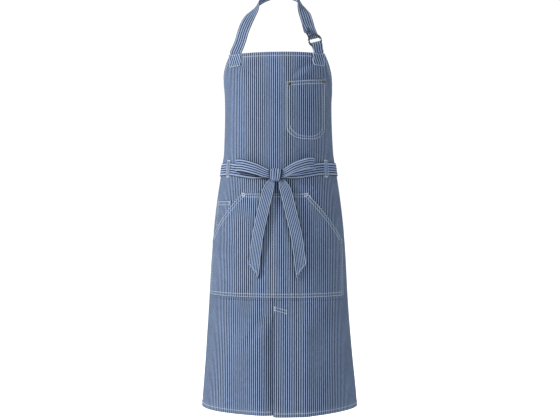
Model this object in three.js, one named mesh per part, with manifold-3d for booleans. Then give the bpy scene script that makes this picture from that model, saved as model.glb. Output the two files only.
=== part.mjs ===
// Butcher apron: a bib apron with a neck strap closed by two rings, a chest pocket, a kangaroo pocket
// with a coin pocket inside its mouth, waist ties that cross behind and end in a bow in front,
// and a skirt with a centre vent. Millimetres, +Z up, front towards -Y, +X to the right seen from the front.
// The origin is on the strap's inner face at the nape, where the apron hangs on the neck.
import * as THREE from "three";
import { mergeVertices } from "three/addons/utils/BufferGeometryUtils.js";
import { RoundedBoxGeometry } from "three/addons/geometries/RoundedBoxGeometry.js";
import Module from "manifold-3d";

const wasm = await Module();
wasm.setup();

// ---- Driving dimensions -------------------------------------------------------------------------
const apronLength = 970; // bib top edge to bottom hem
const bibHalfWidth = 143; // all half widths run along the cloth from the centre front
const waistHalfWidth = 345;
const hemHalfWidth = 385;
const waistDrop = 313; // bib top edge to the middle of the waist ties at the belt loops
const ventDrop = 700; // bib top edge to the head of the centre vent
const clothThickness = 1.0;
const tapeThickness = 1.2; // folded tape of the strap, tab and ties
const layerGap = 0.8; // air between two layers that are sewn together
const hemWidth = 11;
const tieWidth = 35;
const strapWidth = 34;
const patchWidth = 39;
const patchHeight = 36;
const patchCorner = 10;
const hemGap = 1.2; // air between the cloth and its folded hem
const seamGap = 0.8; // between cloth above and below a bending line
const underlapWidth = 38;
const ventOverlap = 20;

const chestPocket = { left: 31, right: 149, top: 80, topRise: 12, bottom: 236, corner: 33 };
const kangaroo = { top: 380, mouthEnd: 511, bottom: 660, topHalf: 90, fullHalf: 212 };
const coinPocket = { left: -189, right: -125, top: 400, bottom: 490 };
const beltLoop = { left: -142, right: 154, width: 13, length: 49 };
const knot = { x: 4, drop: 331.8, width: 35, height: 35, depth: 15, rounding: 6 };
const bow = { reach: 110, rise: 28, rootHalf: 11, endHalf: 16.5 };
const tail = { drop: 590, halfWidth: 16.5, slant: 16.5, rootHalf: 7.5, spreadLeft: 1, spreadRight: 1.15 };

const ringRadius = 17.5; // to the middle of the wire
const wireRadius = 1.5;
const ringClearance = 0.4;
const foldHalfWidth = 13.5; // tape gathered to go through the rings
const tiltRoom = 2.0; // free space in the tab ahead of the front ring

const rivetHead = 4;
const rivetPost = 1.5;
const rivetClearance = 0.4;
const rivetInset = 8;

// ---- Body form that the cloth hangs on ----------------------------------------------------------
// Height below the bib top, half width, half depth and middle of each horizontal ellipse.
const formStations = [
  [60, 158, 82, -26],
  [0, 155, 90, -22],
  [-128, 149, 106, -12],
  [-260, 153, 113, -2],
  [-313, 161, 115, 0],
  [-403, 174, 122, 0],
  [-504, 184, 128, 0],
  [-660, 194, 137, 0],
  [-800, 205, 143, 0],
  [-970, 216, 150, 0],
  [-1200, 226, 156, 0],
];

// Smooth curve through the stations, with the slope at each one taken from its neighbours.
function formAt(z) {
  const last = formStations.length - 1;
  let i = 0;
  while (i < last - 1 && z < formStations[i + 1][0]) {
    i += 1;
  }
  const [z0, z1] = [formStations[i][0], formStations[i + 1][0]];
  const t = (z - z0) / (z1 - z0);
  const slope = (j, k) => {
    const above = formStations[Math.max(j - 1, 0)];
    const below = formStations[Math.min(j + 1, last)];
    return (below[k] - above[k]) / (below[0] - above[0]);
  };
  return [1, 2, 3].map((k) => {
    const [a, b] = [formStations[i][k], formStations[i + 1][k]];
    const [ma, mb] = [slope(i, k) * (z1 - z0), slope(i + 1, k) * (z1 - z0)];
    const rise = t * t * (3 - 2 * t);
    return a + (b - a) * rise + ma * t * (1 - t) ** 2 - mb * t * t * (1 - t);
  });
}

// Angle around the form, from the centre front towards +X, of a point at arc length s.
function angleAt(s, z) {
  const [halfWidth, halfDepth] = formAt(z);
  const step = Math.PI / 360;
  let angle = 0;
  let run = 0;
  for (;;) {
    const middle = angle + step / 2;
    const piece = step * Math.hypot(halfWidth * Math.cos(middle), halfDepth * Math.sin(middle));
    if (run + piece >= Math.abs(s)) {
      return Math.sign(s) * (angle + (step * (Math.abs(s) - run)) / piece);
    }
    run += piece;
    angle += step;
  }
}

// Point at an angle and height, lifted off the form along its outward normal.
function liftOff(angle, z, lift) {
  const [halfWidth, halfDepth, middleY] = formAt(z);
  const normal = new THREE.Vector2(Math.sin(angle) / halfWidth, -Math.cos(angle) / halfDepth).normalize();
  const x = halfWidth * Math.sin(angle) + normal.x * lift;
  const y = middleY - halfDepth * Math.cos(angle) + normal.y * lift;
  return new THREE.Vector3(x, y, z);
}

const onForm = (s, z, lift) => liftOff(angleAt(s, z), z, lift);

// Half width of the body panel at a height: a slanted armhole, a short straight waist, a flared skirt.
const waistStraight = 25;
function edgeAt(z) {
  const waistTop = -(waistDrop - waistStraight);
  const waistBottom = -(waistDrop + waistStraight);
  if (z > waistTop) {
    return THREE.MathUtils.mapLinear(z, 0, waistTop, bibHalfWidth, waistHalfWidth);
  }
  if (z > waistBottom) {
    return waistHalfWidth;
  }
  return THREE.MathUtils.mapLinear(z, waistBottom, -apronLength, waistHalfWidth, hemHalfWidth);
}

// ---- Layers, measured outwards from the form ----------------------------------------------------
const innerLayer = -hemGap - clothThickness;
const panelLayer = 0;
const outerLayer = panelLayer + clothThickness + layerGap;
const overTieLayer = outerLayer + tapeThickness + layerGap;

// ---- Shape helpers ------------------------------------------------------------------------------
// Value at v (0..1) on a chain of equally spaced values.
function along(values, v) {
  const place = v * (values.length - 1);
  const i = Math.min(Math.floor(place), values.length - 2);
  return THREE.MathUtils.lerp(values[i], values[i + 1], place - i);
}

// Moves every vertex of a unit box: u and v run over the box's face, w is true on its outer side.
function mapBox(columns, rows, place) {
  const geometry = new THREE.BoxGeometry(1, 1, 1, columns, rows, 1);
  const position = geometry.attributes.position;
  for (let i = 0; i < position.count; i += 1) {
    const point = place(position.getX(i) + 0.5, position.getY(i) + 0.5, position.getZ(i) > 0);
    position.setXYZ(i, point.x, point.y, point.z);
  }
  geometry.computeVertexNormals();
  return geometry;
}

// A layer of cloth on the form: place gives its s, z and inner lift at u (to the right) and v (upwards).
function cloth(columns, rows, thickness, place) {
  return mapBox(columns, rows, (u, v, outer) => {
    const { s, z, lift } = place(u, v);
    return onForm(s, z, outer ? lift + thickness : lift);
  });
}

// A tape through frames of { point, side, tangent }: side is the half-width vector, tangent is optional.
function tape(frames, thickness) {
  const last = frames.length - 1;
  return mapBox(last, 1, (u, v, outer) => {
    const i = Math.round(u * last);
    const { point, side, tangent } = frames[i];
    const [before, after] = [frames[Math.max(i - 1, 0)].point, frames[Math.min(i + 1, last)].point];
    const direction = tangent ?? after.clone().sub(before);
    const normal = direction.clone().cross(side).normalize();
    const across = side.clone().multiplyScalar(2 * v - 1);
    return point.clone().add(across).addScaledVector(normal, outer ? thickness / 2 : -thickness / 2);
  });
}

// Tape frames sampled along a smooth curve, with each side hint squared to the curve and sized.
function sampleFrames(points, hints, halfWidths, count) {
  const path = new THREE.CatmullRomCurve3(points, false, "centripetal");
  const turn = new THREE.CatmullRomCurve3(hints);
  return Array.from({ length: count + 1 }, (_, i) => {
    const t = i / count;
    const tangent = path.getTangent(t);
    const side = turn.getPoint(t).projectOnPlane(tangent).setLength(along(halfWidths, t));
    return { point: path.getPoint(t), side };
  });
}

function toManifold(source) {
  const bare = source.clone();
  bare.deleteAttribute("normal");
  bare.deleteAttribute("uv");
  const merged = mergeVertices(bare, 1e-4);
  const vertProperties = Float32Array.from(merged.attributes.position.array);
  const triVerts = Uint32Array.from(merged.index.array);
  return new wasm.Manifold(new wasm.Mesh({ numProp: 3, vertProperties, triVerts }));
}

function fromManifold(solid) {
  const mesh = solid.getMesh();
  const geometry = new THREE.BufferGeometry();
  geometry.setAttribute("position", new THREE.BufferAttribute(Float32Array.from(mesh.vertProperties), 3));
  geometry.setIndex(new THREE.BufferAttribute(Uint32Array.from(mesh.triVerts), 1));
  geometry.computeVertexNormals();
  return geometry;
}

// ---- Materials and the group --------------------------------------------------------------------
const paint = {
  denim: { color: 0x6c7fa0, roughness: 0.9, metalness: 0 },
  darkMetal: { color: 0x3b3f42, roughness: 0.45, metalness: 0.9 },
  brass: { color: 0x9a8a55, roughness: 0.4, metalness: 0.9 },
};

const napeHeight = 206;
const napeBack = 75;
const apron = new THREE.Group();
apron.position.set(0, -(napeBack - tapeThickness / 2), -napeHeight);

function add(name, geometry, look) {
  const mesh = new THREE.Mesh(geometry, new THREE.MeshStandardMaterial(look));
  mesh.name = name;
  apron.add(mesh);
  return mesh;
}

// ---- Body panel, skirt halves and the vent underlap ---------------------------------------------
const panelBottom = -ventDrop + seamGap / 2;
const skirtTop = -ventDrop - seamGap / 2;

// Heights between two levels in equal steps, without the last one.
function levels(from, to, count) {
  return Array.from({ length: count }, (_, i) => THREE.MathUtils.lerp(from, to, i / count));
}

function bodyPanel() {
  const waistTop = -waistDrop + waistStraight;
  const waistBottom = -waistDrop - waistStraight;
  const skirtRows = levels(panelBottom, waistBottom, 8);
  const rows = [...skirtRows, ...levels(waistBottom, waistTop, 2), ...levels(waistTop, 0, 15), 0];
  return cloth(44, rows.length - 1, clothThickness, (u, v) => {
    const z = along(rows, v);
    return { s: (2 * u - 1) * edgeAt(z), z, lift: panelLayer };
  });
}

// Skirt half on the side given by its sign, from the vent edge to the side edge.
function skirtHalf(side) {
  const ventEdge = side > 0 ? 0 : -seamGap;
  return cloth(24, 6, clothThickness, (u, v) => {
    const z = THREE.MathUtils.lerp(-apronLength, skirtTop, v);
    const edge = side * edgeAt(z);
    const s = side > 0 ? THREE.MathUtils.lerp(ventEdge, edge, u) : THREE.MathUtils.lerp(edge, ventEdge, u);
    return { s, z, lift: panelLayer };
  });
}

function ventUnderlap() {
  return cloth(4, 6, clothThickness, (u, v) => ({
    s: THREE.MathUtils.lerp(-ventOverlap, underlapWidth, u),
    z: THREE.MathUtils.lerp(-apronLength + hemWidth + layerGap, skirtTop, v),
    lift: innerLayer,
  }));
}

// ---- Hems, folded to the inside -----------------------------------------------------------------
function bibTopHem() {
  const half = bibHalfWidth - hemWidth - layerGap;
  return cloth(20, 1, clothThickness, (u, v) => ({
    s: (2 * u - 1) * half,
    z: THREE.MathUtils.lerp(-hemWidth, 0, v),
    lift: innerLayer,
  }));
}

// Hem along a side edge between two heights.
function edgeHem(side, top, bottom, rows) {
  return cloth(1, rows, clothThickness, (u, v) => {
    const z = THREE.MathUtils.lerp(bottom, top, v);
    const inset = side > 0 ? hemWidth * (1 - u) : hemWidth * u;
    return { s: side * (edgeAt(z) - inset), z, lift: innerLayer };
  });
}

function bottomHem(side) {
  const near = side > 0 ? underlapWidth + layerGap : seamGap;
  return cloth(22, 1, clothThickness, (u, v) => {
    const z = THREE.MathUtils.lerp(-apronLength, -apronLength + hemWidth, v);
    const far = edgeAt(z) - hemWidth - layerGap;
    const reach = side > 0 ? THREE.MathUtils.lerp(near, far, u) : THREE.MathUtils.lerp(far, near, u);
    return { s: side * reach, z, lift: innerLayer };
  });
}

// ---- Pockets and their rivets -------------------------------------------------------------------
const chestMiddle = (chestPocket.left + chestPocket.right) / 2;
const chestHalf = (chestPocket.right - chestPocket.left) / 2;
const chestSlope = chestPocket.topRise / (2 * chestHalf);

// Chest pocket: straight sides, round lower corners and a top edge that rises to the right.
function chestPocketPanel() {
  const cornerRows = 5;
  const straightRows = 5;
  const corner = chestPocket.corner;
  return cloth(12, cornerRows + straightRows, clothThickness, (u, v) => {
    const row = v * (cornerRows + straightRows);
    const turn = (Math.min(row / cornerRows, 1) * Math.PI) / 2;
    const half = chestHalf - corner * (1 - Math.sin(turn));
    const s = chestMiddle + (2 * u - 1) * half;
    const topEdge = -chestPocket.top + chestSlope * (s - chestPocket.left);
    const cornerTop = -chestPocket.bottom + corner;
    const rise = Math.max(row - cornerRows, 0) / straightRows;
    const roundZ = -chestPocket.bottom + corner * (1 - Math.cos(turn));
    return { s, z: rise > 0 ? THREE.MathUtils.lerp(cornerTop, topEdge, rise) : roundZ, lift: outerLayer };
  });
}

function kangarooHalf(z) {
  if (z < -kangaroo.mouthEnd) {
    return kangaroo.fullHalf;
  }
  return THREE.MathUtils.mapLinear(z, -kangaroo.mouthEnd, -kangaroo.top, kangaroo.fullHalf, kangaroo.topHalf);
}

// The kangaroo pocket stands out a little where it covers the coin pocket.
function kangarooLift(s, z) {
  const soften = 25;
  const acrossIn = THREE.MathUtils.smoothstep(s, coinPocket.left - 2 * soften, coinPocket.left - soften / 2);
  const acrossOut = 1 - THREE.MathUtils.smoothstep(s, coinPocket.right + soften / 2, coinPocket.right + 2 * soften);
  const upIn = THREE.MathUtils.smoothstep(z, -coinPocket.bottom - 2 * soften, -coinPocket.bottom - soften / 2);
  return outerLayer + (clothThickness + layerGap) * acrossIn * acrossOut * upIn;
}

function kangarooPocket() {
  const sideRows = levels(-kangaroo.bottom, -kangaroo.mouthEnd, 4);
  const rows = [...sideRows, ...levels(-kangaroo.mouthEnd, -kangaroo.top, 9), -kangaroo.top];
  return cloth(30, rows.length - 1, clothThickness, (u, v) => {
    const z = along(rows, v);
    const s = (2 * u - 1) * kangarooHalf(z);
    return { s, z, lift: kangarooLift(s, z) };
  });
}

function coinPocketPanel() {
  return cloth(6, 5, clothThickness, (u, v) => ({
    s: THREE.MathUtils.lerp(coinPocket.left, coinPocket.right, u),
    z: THREE.MathUtils.lerp(-coinPocket.bottom, -coinPocket.top, v),
    lift: outerLayer,
  }));
}

// Rivets clamp the chest pocket's top corners: a domed head with its post, and a burr ring inside.
const rivetPlaces = [chestPocket.left + rivetInset, chestPocket.right - rivetInset].map((s) => {
  const z = -chestPocket.top + chestSlope * (s - chestPocket.left) - rivetInset;
  return { s, z };
});
const pocketFace = outerLayer + clothThickness;
const burrThickness = 1.2;
const burrLayer = -layerGap - burrThickness;

function lathe(outline) {
  const points = outline.map(([radius, height]) => new THREE.Vector2(radius, height));
  return new THREE.LatheGeometry(points, 20);
}

function rivetGeometry() {
  const seat = pocketFace + layerGap / 2;
  const tip = burrLayer - 0.5;
  const dome = [0, 1, 2, 3].map((i) => {
    const turn = (i * Math.PI) / 6;
    return [rivetHead * Math.cos(turn), seat + 0.6 + 1.2 * Math.sin(turn)];
  });
  return lathe([[0, tip], [rivetPost, tip], [rivetPost, seat], [rivetHead, seat], ...dome.slice(0, 3), [0, dome[3][1]]]);
}

function burrGeometry() {
  const inner = rivetPost + rivetClearance;
  const top = burrLayer + burrThickness;
  return lathe([[inner, burrLayer], [rivetHead, burrLayer], [rivetHead, top], [inner, top], [inner, burrLayer]]);
}

// Puts a geometry made along +Y onto the form, with +Y turned to the outward normal.
function seatOnForm(mesh, place) {
  const foot = onForm(place.s, place.z, 0);
  const outward = onForm(place.s, place.z, 1).sub(foot);
  mesh.position.copy(foot);
  mesh.quaternion.setFromUnitVectors(new THREE.Vector3(0, 1, 0), outward.normalize());
  mesh.updateMatrix();
}

// Clears a hole for every rivet post through a layer.
function pierce(geometry) {
  let solid = toManifold(geometry);
  for (const place of rivetPlaces) {
    const drill = new THREE.Mesh(new THREE.CylinderGeometry(rivetPost + rivetClearance, rivetPost + rivetClearance, 30, 16));
    seatOnForm(drill, place);
    solid = solid.subtract(toManifold(drill.geometry.clone().applyMatrix4(drill.matrix)));
  }
  return fromManifold(solid);
}

// ---- Corner patches: the sewn ends of the strap (left) and of the doubled tab (right) ------------
const patchMiddle = bibHalfWidth - patchWidth / 2 - 1;
const doubledTab = 2 * tapeThickness + layerGap;

function cornerPatch(side, thickness) {
  const cornerRows = 4;
  return cloth(6, cornerRows + 2, thickness, (u, v) => {
    const row = v * (cornerRows + 2);
    const turn = (Math.min(row / cornerRows, 1) * Math.PI) / 2;
    const cut = patchCorner * (1 - Math.sin(turn));
    const inner = patchMiddle - patchWidth / 2 + cut;
    const outer = patchMiddle + patchWidth / 2;
    const cornerTop = -patchHeight + patchCorner;
    const roundZ = -patchHeight + patchCorner * (1 - Math.cos(turn));
    const z = row > cornerRows ? THREE.MathUtils.lerp(cornerTop, 0, (row - cornerRows) / 2) : roundZ;
    const reach = side > 0 ? THREE.MathUtils.lerp(inner, outer, u) : THREE.MathUtils.lerp(outer, inner, u);
    return { s: side * reach, z, lift: outerLayer };
  });
}

// ---- Neck strap, rings and ring tab -------------------------------------------------------------
// Ring frame at the right: up follows the strap, out faces forwards, wide lies across the tape.
const ringUp = new THREE.Vector3(-0.35, 0.2, 0.915).normalize();
const ringOut = new THREE.Vector3(0.36, -0.93, 0).projectOnPlane(ringUp).normalize();
const ringWide = ringUp.clone().cross(ringOut);
const tapeStep = wireRadius + ringClearance + tapeThickness / 2; // from a wire's middle to the tape's middle
const ringStep = 2 * (wireRadius + ringClearance) + tapeThickness; // from the back ring to the front ring
const ringHeight = 32; // along the tape, from the bib top to the ring's middle
const mirrorX = (v) => new THREE.Vector3(-v.x, v.y, v.z);
const tapeFoot = onForm(patchMiddle, 0, outerLayer + tapeThickness / 2);
const ringMiddle = tapeFoot.clone().addScaledVector(ringUp, ringHeight).addScaledVector(ringOut, tapeStep);

// Direction along the bib's edge at the patch, away from the centre: the free tapes are cut along it.
const edgeAlong = onForm(patchMiddle + 1, 0, 0).sub(onForm(patchMiddle - 1, 0, 0)).normalize();

const inRingFrame = (up, out) => ringMiddle.clone().addScaledVector(ringUp, up).addScaledVector(ringOut, out);

// Left half of the strap's route from the bib corner round the side of the neck to the nape.
const footLift = 1.3; // the free tape starts just above the bib's edge
const neckRoute = [
  [-92, -68, 62],
  [-81, -52, 90],
  [-67, -27, 116],
  [-58, -4, 136],
  [-55, 22, 163],
  [-45, 51, 188],
  [-25, 70, 202],
  [-12, napeBack, napeHeight],
].map(([x, y, z]) => new THREE.Vector3(x, y, z));
const neckSides = [
  [-0.9, 0.44, 0],
  [-0.9, 0.44, 0],
  [-0.87, 0.5, 0],
  [-0.74, 0.67, -0.1],
  [-0.37, 0.85, -0.35],
  [-0.03, 0.8, -0.6],
  [0.12, 0.6, -0.77],
  [0.4, 0.3, -0.84],
  [0.24, 0.06, -0.96],
  [0, 0, -1],
].map(([x, y, z]) => new THREE.Vector3(x, y, z));

function neckStrap() {
  const leftUp = mirrorX(ringUp);
  const start = mirrorX(tapeFoot).addScaledVector(leftUp, footLift);
  const second = mirrorX(tapeFoot).addScaledVector(leftUp, ringHeight);
  const half = strapWidth / 2;
  const left = sampleFrames([start, second, ...neckRoute], neckSides, [half, half], 26);
  const flat = new THREE.Vector3(1, 0, 0);
  left[0].side = mirrorX(edgeAlong).setLength(half);
  left[26] = { point: left[26].point, side: new THREE.Vector3(0, 0, -half), tangent: flat };

  // The right half mirrors the left one down to the rings and is gathered to the rings' width.
  const fold = 9.5;
  const intoRings = [30, 20, fold].map((up) => inRingFrame(up, -tapeStep));
  const routeDown = [...neckRoute.slice().reverse().map(mirrorX), ...intoRings];
  const sidesDown = [...neckSides.slice(2).reverse().map(mirrorX), ringWide, ringWide, ringWide];
  const gather = [half, half, half, half, half, foldHalfWidth, foldHalfWidth];
  const right = sampleFrames(routeDown, sidesDown, gather, 26);
  right[0] = { point: right[0].point, side: new THREE.Vector3(0, 0, -half), tangent: flat };

  // Around the back ring, and up between the rings onto the front of the strap.
  const side = ringWide.clone().setLength(foldHalfWidth);
  const bend = [1, 2, 3, 4, 5].map((i) => {
    const turn = (i * Math.PI) / 6;
    return { point: inRingFrame(fold - tapeStep * Math.sin(turn), -tapeStep * Math.cos(turn)), side };
  });
  const tailRise = [
    [fold, tapeStep],
    [24, tapeStep],
    [34, tapeStep - 1.6],
    [44, tapeStep - 3],
    [54, tapeStep - 3.6],
  ].map(([up, out]) => ({ point: inRingFrame(up, out), side }));
  return tape([...left, ...right, ...bend, ...tailRise], tapeThickness);
}

function ring(out) {
  const geometry = new THREE.TorusGeometry(ringRadius, wireRadius, 8, 32);
  const basis = new THREE.Matrix4().makeBasis(ringWide, ringUp, ringOut);
  basis.setPosition(inRingFrame(0, out));
  return geometry.applyMatrix4(basis);
}

// The tab: a tape that rises behind both rings, folds over their lower arcs and comes down in front.
function ringTab() {
  const backOut = -tapeStep;
  const frontOut = ringStep + wireRadius + tiltRoom + tapeThickness / 2;
  const archMiddle = (backOut + frontOut) / 2;
  const archHalf = (frontOut - backOut) / 2;
  const archFoot = -11;
  const archRise = 4.5;
  const side = ringWide.clone().setLength(foldHalfWidth);
  const footSide = edgeAlong.clone().setLength(foldHalfWidth);
  const foot = -ringHeight + footLift;
  const back = [foot, (foot + archFoot) / 2].map((up) => inRingFrame(up, backOut));
  const arch = Array.from({ length: 9 }, (_, i) => {
    const turn = (i * Math.PI) / 8;
    return inRingFrame(archFoot + archRise * Math.sin(turn), archMiddle - archHalf * Math.cos(turn));
  });
  const frontFoot = backOut + tapeThickness + layerGap;
  const front = [
    [-17, frontOut - 0.6],
    [-24, (frontOut + frontFoot) / 2],
    [foot + 2, frontFoot],
    [foot, frontFoot],
  ].map(([up, out]) => inRingFrame(up, out));
  const frames = [...back, ...arch, ...front].map((point) => ({ point, side }));
  frames[0].side = footSide;
  frames[frames.length - 1].side = footSide;
  return tape(frames, tapeThickness);
}

// ---- Waist ties, belt loops and bow -------------------------------------------------------------
const knotApproach = 3; // the ties reach the knot a little above its middle
function tieDropAt(angle) {
  const loopAngle = angleAt(beltLoop.right, -waistDrop);
  const nearKnot = 1 - THREE.MathUtils.smoothstep(Math.abs(angle), 0.1, loopAngle);
  return THREE.MathUtils.lerp(waistDrop, knot.drop - knotApproach, nearKnot);
}

// A waist tie: sewn on one side edge, round the back, over the other edge and to the knot.
// Behind, one tie rises and the other sinks by half their spacing, and they change places outwards there.
const sewnLength = 35;
const tieSpacing = tieWidth + 3;
function waistTie(side) {
  const edgeAngle = angleAt(waistHalfWidth, -waistDrop);
  const sewnAngle = angleAt(waistHalfWidth - sewnLength, -waistDrop);
  const knotAngle = 2 * Math.PI - angleAt(1 - side * knot.x, -waistDrop);
  const openBack = Math.PI - edgeAngle;
  const pastEdge = 2 * Math.PI - sewnAngle;
  return mapBox(64, 2, (u, v, outer) => {
    const turn = THREE.MathUtils.lerp(sewnAngle, knotAngle, side > 0 ? u : 1 - u);
    const parted = 1 - THREE.MathUtils.smoothstep(Math.abs(turn - Math.PI), openBack * 0.3, openBack);
    const crossed = THREE.MathUtils.smoothstep(turn - Math.PI, -openBack * 0.28, openBack * 0.28);
    const settled = THREE.MathUtils.smoothstep(turn, pastEdge + 0.08, pastEdge + 0.4);
    const lift = THREE.MathUtils.lerp(outerLayer, overTieLayer, crossed * (1 - settled));
    const drop = turn > Math.PI ? tieDropAt(2 * Math.PI - turn) : waistDrop;
    const z = -drop + (side * parted * tieSpacing) / 2 + (v - 0.5) * tieWidth;
    return liftOff(side * turn, z, outer ? lift + tapeThickness : lift);
  });
}

// A belt loop: sewn flat above and below, and raised over the tie between.
function beltLoopBand(s) {
  const half = beltLoop.length / 2;
  const clear = tieWidth / 2 + 1.1;
  const heights = [-half, -clear - 2.4, -clear, -6, 6, clear, clear + 2.4, half];
  const lifts = [outerLayer, outerLayer, overTieLayer, overTieLayer, overTieLayer, overTieLayer, outerLayer, outerLayer];
  return cloth(2, heights.length - 1, clothThickness, (u, v) => ({
    s: s + (u - 0.5) * beltLoop.width,
    z: -waistDrop + along(heights, v),
    lift: along(lifts, v),
  }));
}

const knotRoom = 0.9; // the flat knot clears the form, which swells below the waist
const knotGap = 0.7; // between the knot and the loops and tails that leave it
const knotMiddle = overTieLayer + knotRoom + knot.depth / 2;

function bowKnot() {
  const geometry = new RoundedBoxGeometry(knot.width, knot.depth, knot.height, 3, knot.rounding);
  const front = onForm(knot.x, -knot.drop, knotMiddle);
  return geometry.translate(front.x, front.y, front.z);
}

// A bow loop: a tape out along its front band, round the outer fold and back behind it to the knot.
function bowLoop(side) {
  const root = knot.width / 2 + knotGap;
  const reach = bow.reach - side * knot.x;
  const stations = [
    [root, 0, 13],
    [root + 12, 0.12, 16.5],
    [reach * 0.5, 0.5, 21],
    [reach * 0.78, 0.86, 22.5],
    [reach * 0.95, 1, 19],
    [reach, 1, 13.5],
    [reach * 0.95, 1, 8.8],
    [reach * 0.78, 0.86, 7],
    [reach * 0.5, 0.5, 6],
    [root + 12, 0.12, 5.6],
    [root, 0, 6],
  ];
  const points = stations.map(([out, rise, lift]) => {
    return onForm(knot.x + side * out, -knot.drop + 3 + rise * (bow.rise - 3), lift);
  });
  const hints = stations.map(() => new THREE.Vector3(0, 0, side));
  const halfWidths = [bow.rootHalf, bow.endHalf, bow.endHalf, bow.endHalf, bow.rootHalf];
  const frames = sampleFrames(points, hints, halfWidths, 24);
  for (const frame of [frames[0], frames[24]]) {
    frame.side = new THREE.Vector3(0, 0, side * bow.rootHalf);
  }
  return tape(frames, tapeThickness);
}

// A bow tail: gathered under the knot, widening over the pocket to a slanted end.
const tailRoots = { left: -5, right: 18 };
const tailTop = -(knot.drop + knot.height / 2 + knotGap);
const tailRootLift = knotMiddle;

function bowTail(side) {
  const root = side > 0 ? tailRoots.right : tailRoots.left;
  const spread = side > 0 ? tail.spreadRight : side * tail.spreadLeft;
  const stations = [
    [root, tailTop, tailRootLift],
    [root + spread * 6, tailTop - 12, tailRootLift - 2.5],
    [root + spread * 12, tailTop - 32, 6.6],
    [root + spread * 22, tailTop - 80, 6],
    [root + spread * 36, tailTop - 150, 6],
    [root + spread * 47, -tail.drop, 6],
  ];
  const points = stations.map(([s, z, lift]) => onForm(s, z, lift));
  const hints = stations.map(([s, z]) => onForm(s - 1, z, 0).sub(onForm(s + 1, z, 0)));
  const halfWidths = [tail.rootHalf, tail.halfWidth - 1, tail.halfWidth, tail.halfWidth, tail.halfWidth, tail.halfWidth];
  const frames = sampleFrames(points, hints, halfWidths, 14);
  frames[0].side = hints[0].clone().setLength(tail.rootHalf);
  const end = frames[14];
  const before = frames[13];
  const down = end.point.clone().sub(before.point).normalize();
  end.side.addScaledVector(down, side * tail.slant);
  return tape(frames, tapeThickness);
}

// ---- Assembly -----------------------------------------------------------------------------------
add("body_panel", pierce(bodyPanel()), paint.denim);
add("bib_top_hem", bibTopHem(), paint.denim);
for (const [side, word] of [[-1, "left"], [1, "right"]]) {
  const armholeBottom = -waistDrop + waistStraight;
  add(`armhole_hem_${word}`, edgeHem(side, 0, armholeBottom, 14), paint.denim);
  add(`side_hem_${word}`, edgeHem(side, armholeBottom - layerGap, panelBottom, 10), paint.denim);
  add(`skirt_${word}`, skirtHalf(side), paint.denim);
  add(`skirt_side_hem_${word}`, edgeHem(side, skirtTop, -apronLength, 6), paint.denim);
  add(`bottom_hem_${word}`, bottomHem(side), paint.denim);
  add(`waist_tie_${word}`, waistTie(side), paint.denim);
  add(`belt_loop_${word}`, beltLoopBand(beltLoop[word]), paint.denim);
  add(`bow_loop_${word}`, bowLoop(side), paint.denim);
  add(`bow_tail_${word}`, bowTail(side), paint.denim);
}
add("vent_underlap", ventUnderlap(), paint.denim);
add("chest_pocket", pierce(chestPocketPanel()), paint.denim);
add("kangaroo_pocket", kangarooPocket(), paint.denim);
add("coin_pocket", coinPocketPanel(), paint.denim);
rivetPlaces.forEach((place, i) => {
  const word = ["left", "right"][i];
  seatOnForm(add(`pocket_rivet_${word}`, rivetGeometry(), paint.brass), place);
  seatOnForm(add(`rivet_burr_${word}`, burrGeometry(), paint.brass), place);
});
add("strap_end_patch", cornerPatch(-1, tapeThickness), paint.denim);
add("tab_end_patch", cornerPatch(1, doubledTab), paint.denim);
add("neck_strap", neckStrap(), paint.denim);
add("ring_tab", ringTab(), paint.denim);
add("back_ring", ring(0), paint.darkMetal);
add("front_ring", ring(ringStep), paint.darkMetal);
add("bow_knot", bowKnot(), paint.denim);

export default apron;
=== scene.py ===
"""Striped butcher apron: cloth, tapes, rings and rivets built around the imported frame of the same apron."""

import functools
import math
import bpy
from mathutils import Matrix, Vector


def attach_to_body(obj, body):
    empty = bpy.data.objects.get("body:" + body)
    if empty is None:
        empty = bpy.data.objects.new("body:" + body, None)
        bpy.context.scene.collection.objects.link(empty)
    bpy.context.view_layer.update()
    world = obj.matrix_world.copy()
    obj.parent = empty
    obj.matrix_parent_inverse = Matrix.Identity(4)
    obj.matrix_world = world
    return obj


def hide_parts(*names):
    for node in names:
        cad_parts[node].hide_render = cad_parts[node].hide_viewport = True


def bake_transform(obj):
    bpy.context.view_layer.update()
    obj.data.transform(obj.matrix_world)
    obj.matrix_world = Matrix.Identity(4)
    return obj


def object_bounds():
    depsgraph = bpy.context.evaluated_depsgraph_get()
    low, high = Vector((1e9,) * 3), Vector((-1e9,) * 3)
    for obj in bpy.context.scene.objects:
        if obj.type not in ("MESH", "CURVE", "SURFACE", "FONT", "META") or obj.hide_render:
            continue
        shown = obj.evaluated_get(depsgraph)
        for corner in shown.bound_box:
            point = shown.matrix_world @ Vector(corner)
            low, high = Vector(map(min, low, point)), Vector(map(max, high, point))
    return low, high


bl_info = {
    "name": "Butcher Apron",
    "version": (1, 0, 0),
    "blender": (4, 5, 0),
    "location": "View3D > Sidebar > Apron",
    "description": "Builds a striped butcher apron with its pockets, ties, rings and stitching",
    "category": "Object",
}

import bmesh
import bpy
from bpy.props import FloatProperty, FloatVectorProperty, PointerProperty
from mathutils import Matrix, Vector, noise

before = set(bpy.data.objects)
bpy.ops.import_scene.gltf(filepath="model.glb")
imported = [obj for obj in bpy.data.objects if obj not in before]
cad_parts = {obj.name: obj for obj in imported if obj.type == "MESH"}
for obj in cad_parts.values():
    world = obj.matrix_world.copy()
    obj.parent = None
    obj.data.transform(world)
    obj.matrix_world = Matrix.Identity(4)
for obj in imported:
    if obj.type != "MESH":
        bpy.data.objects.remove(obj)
CAD_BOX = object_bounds()

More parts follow.
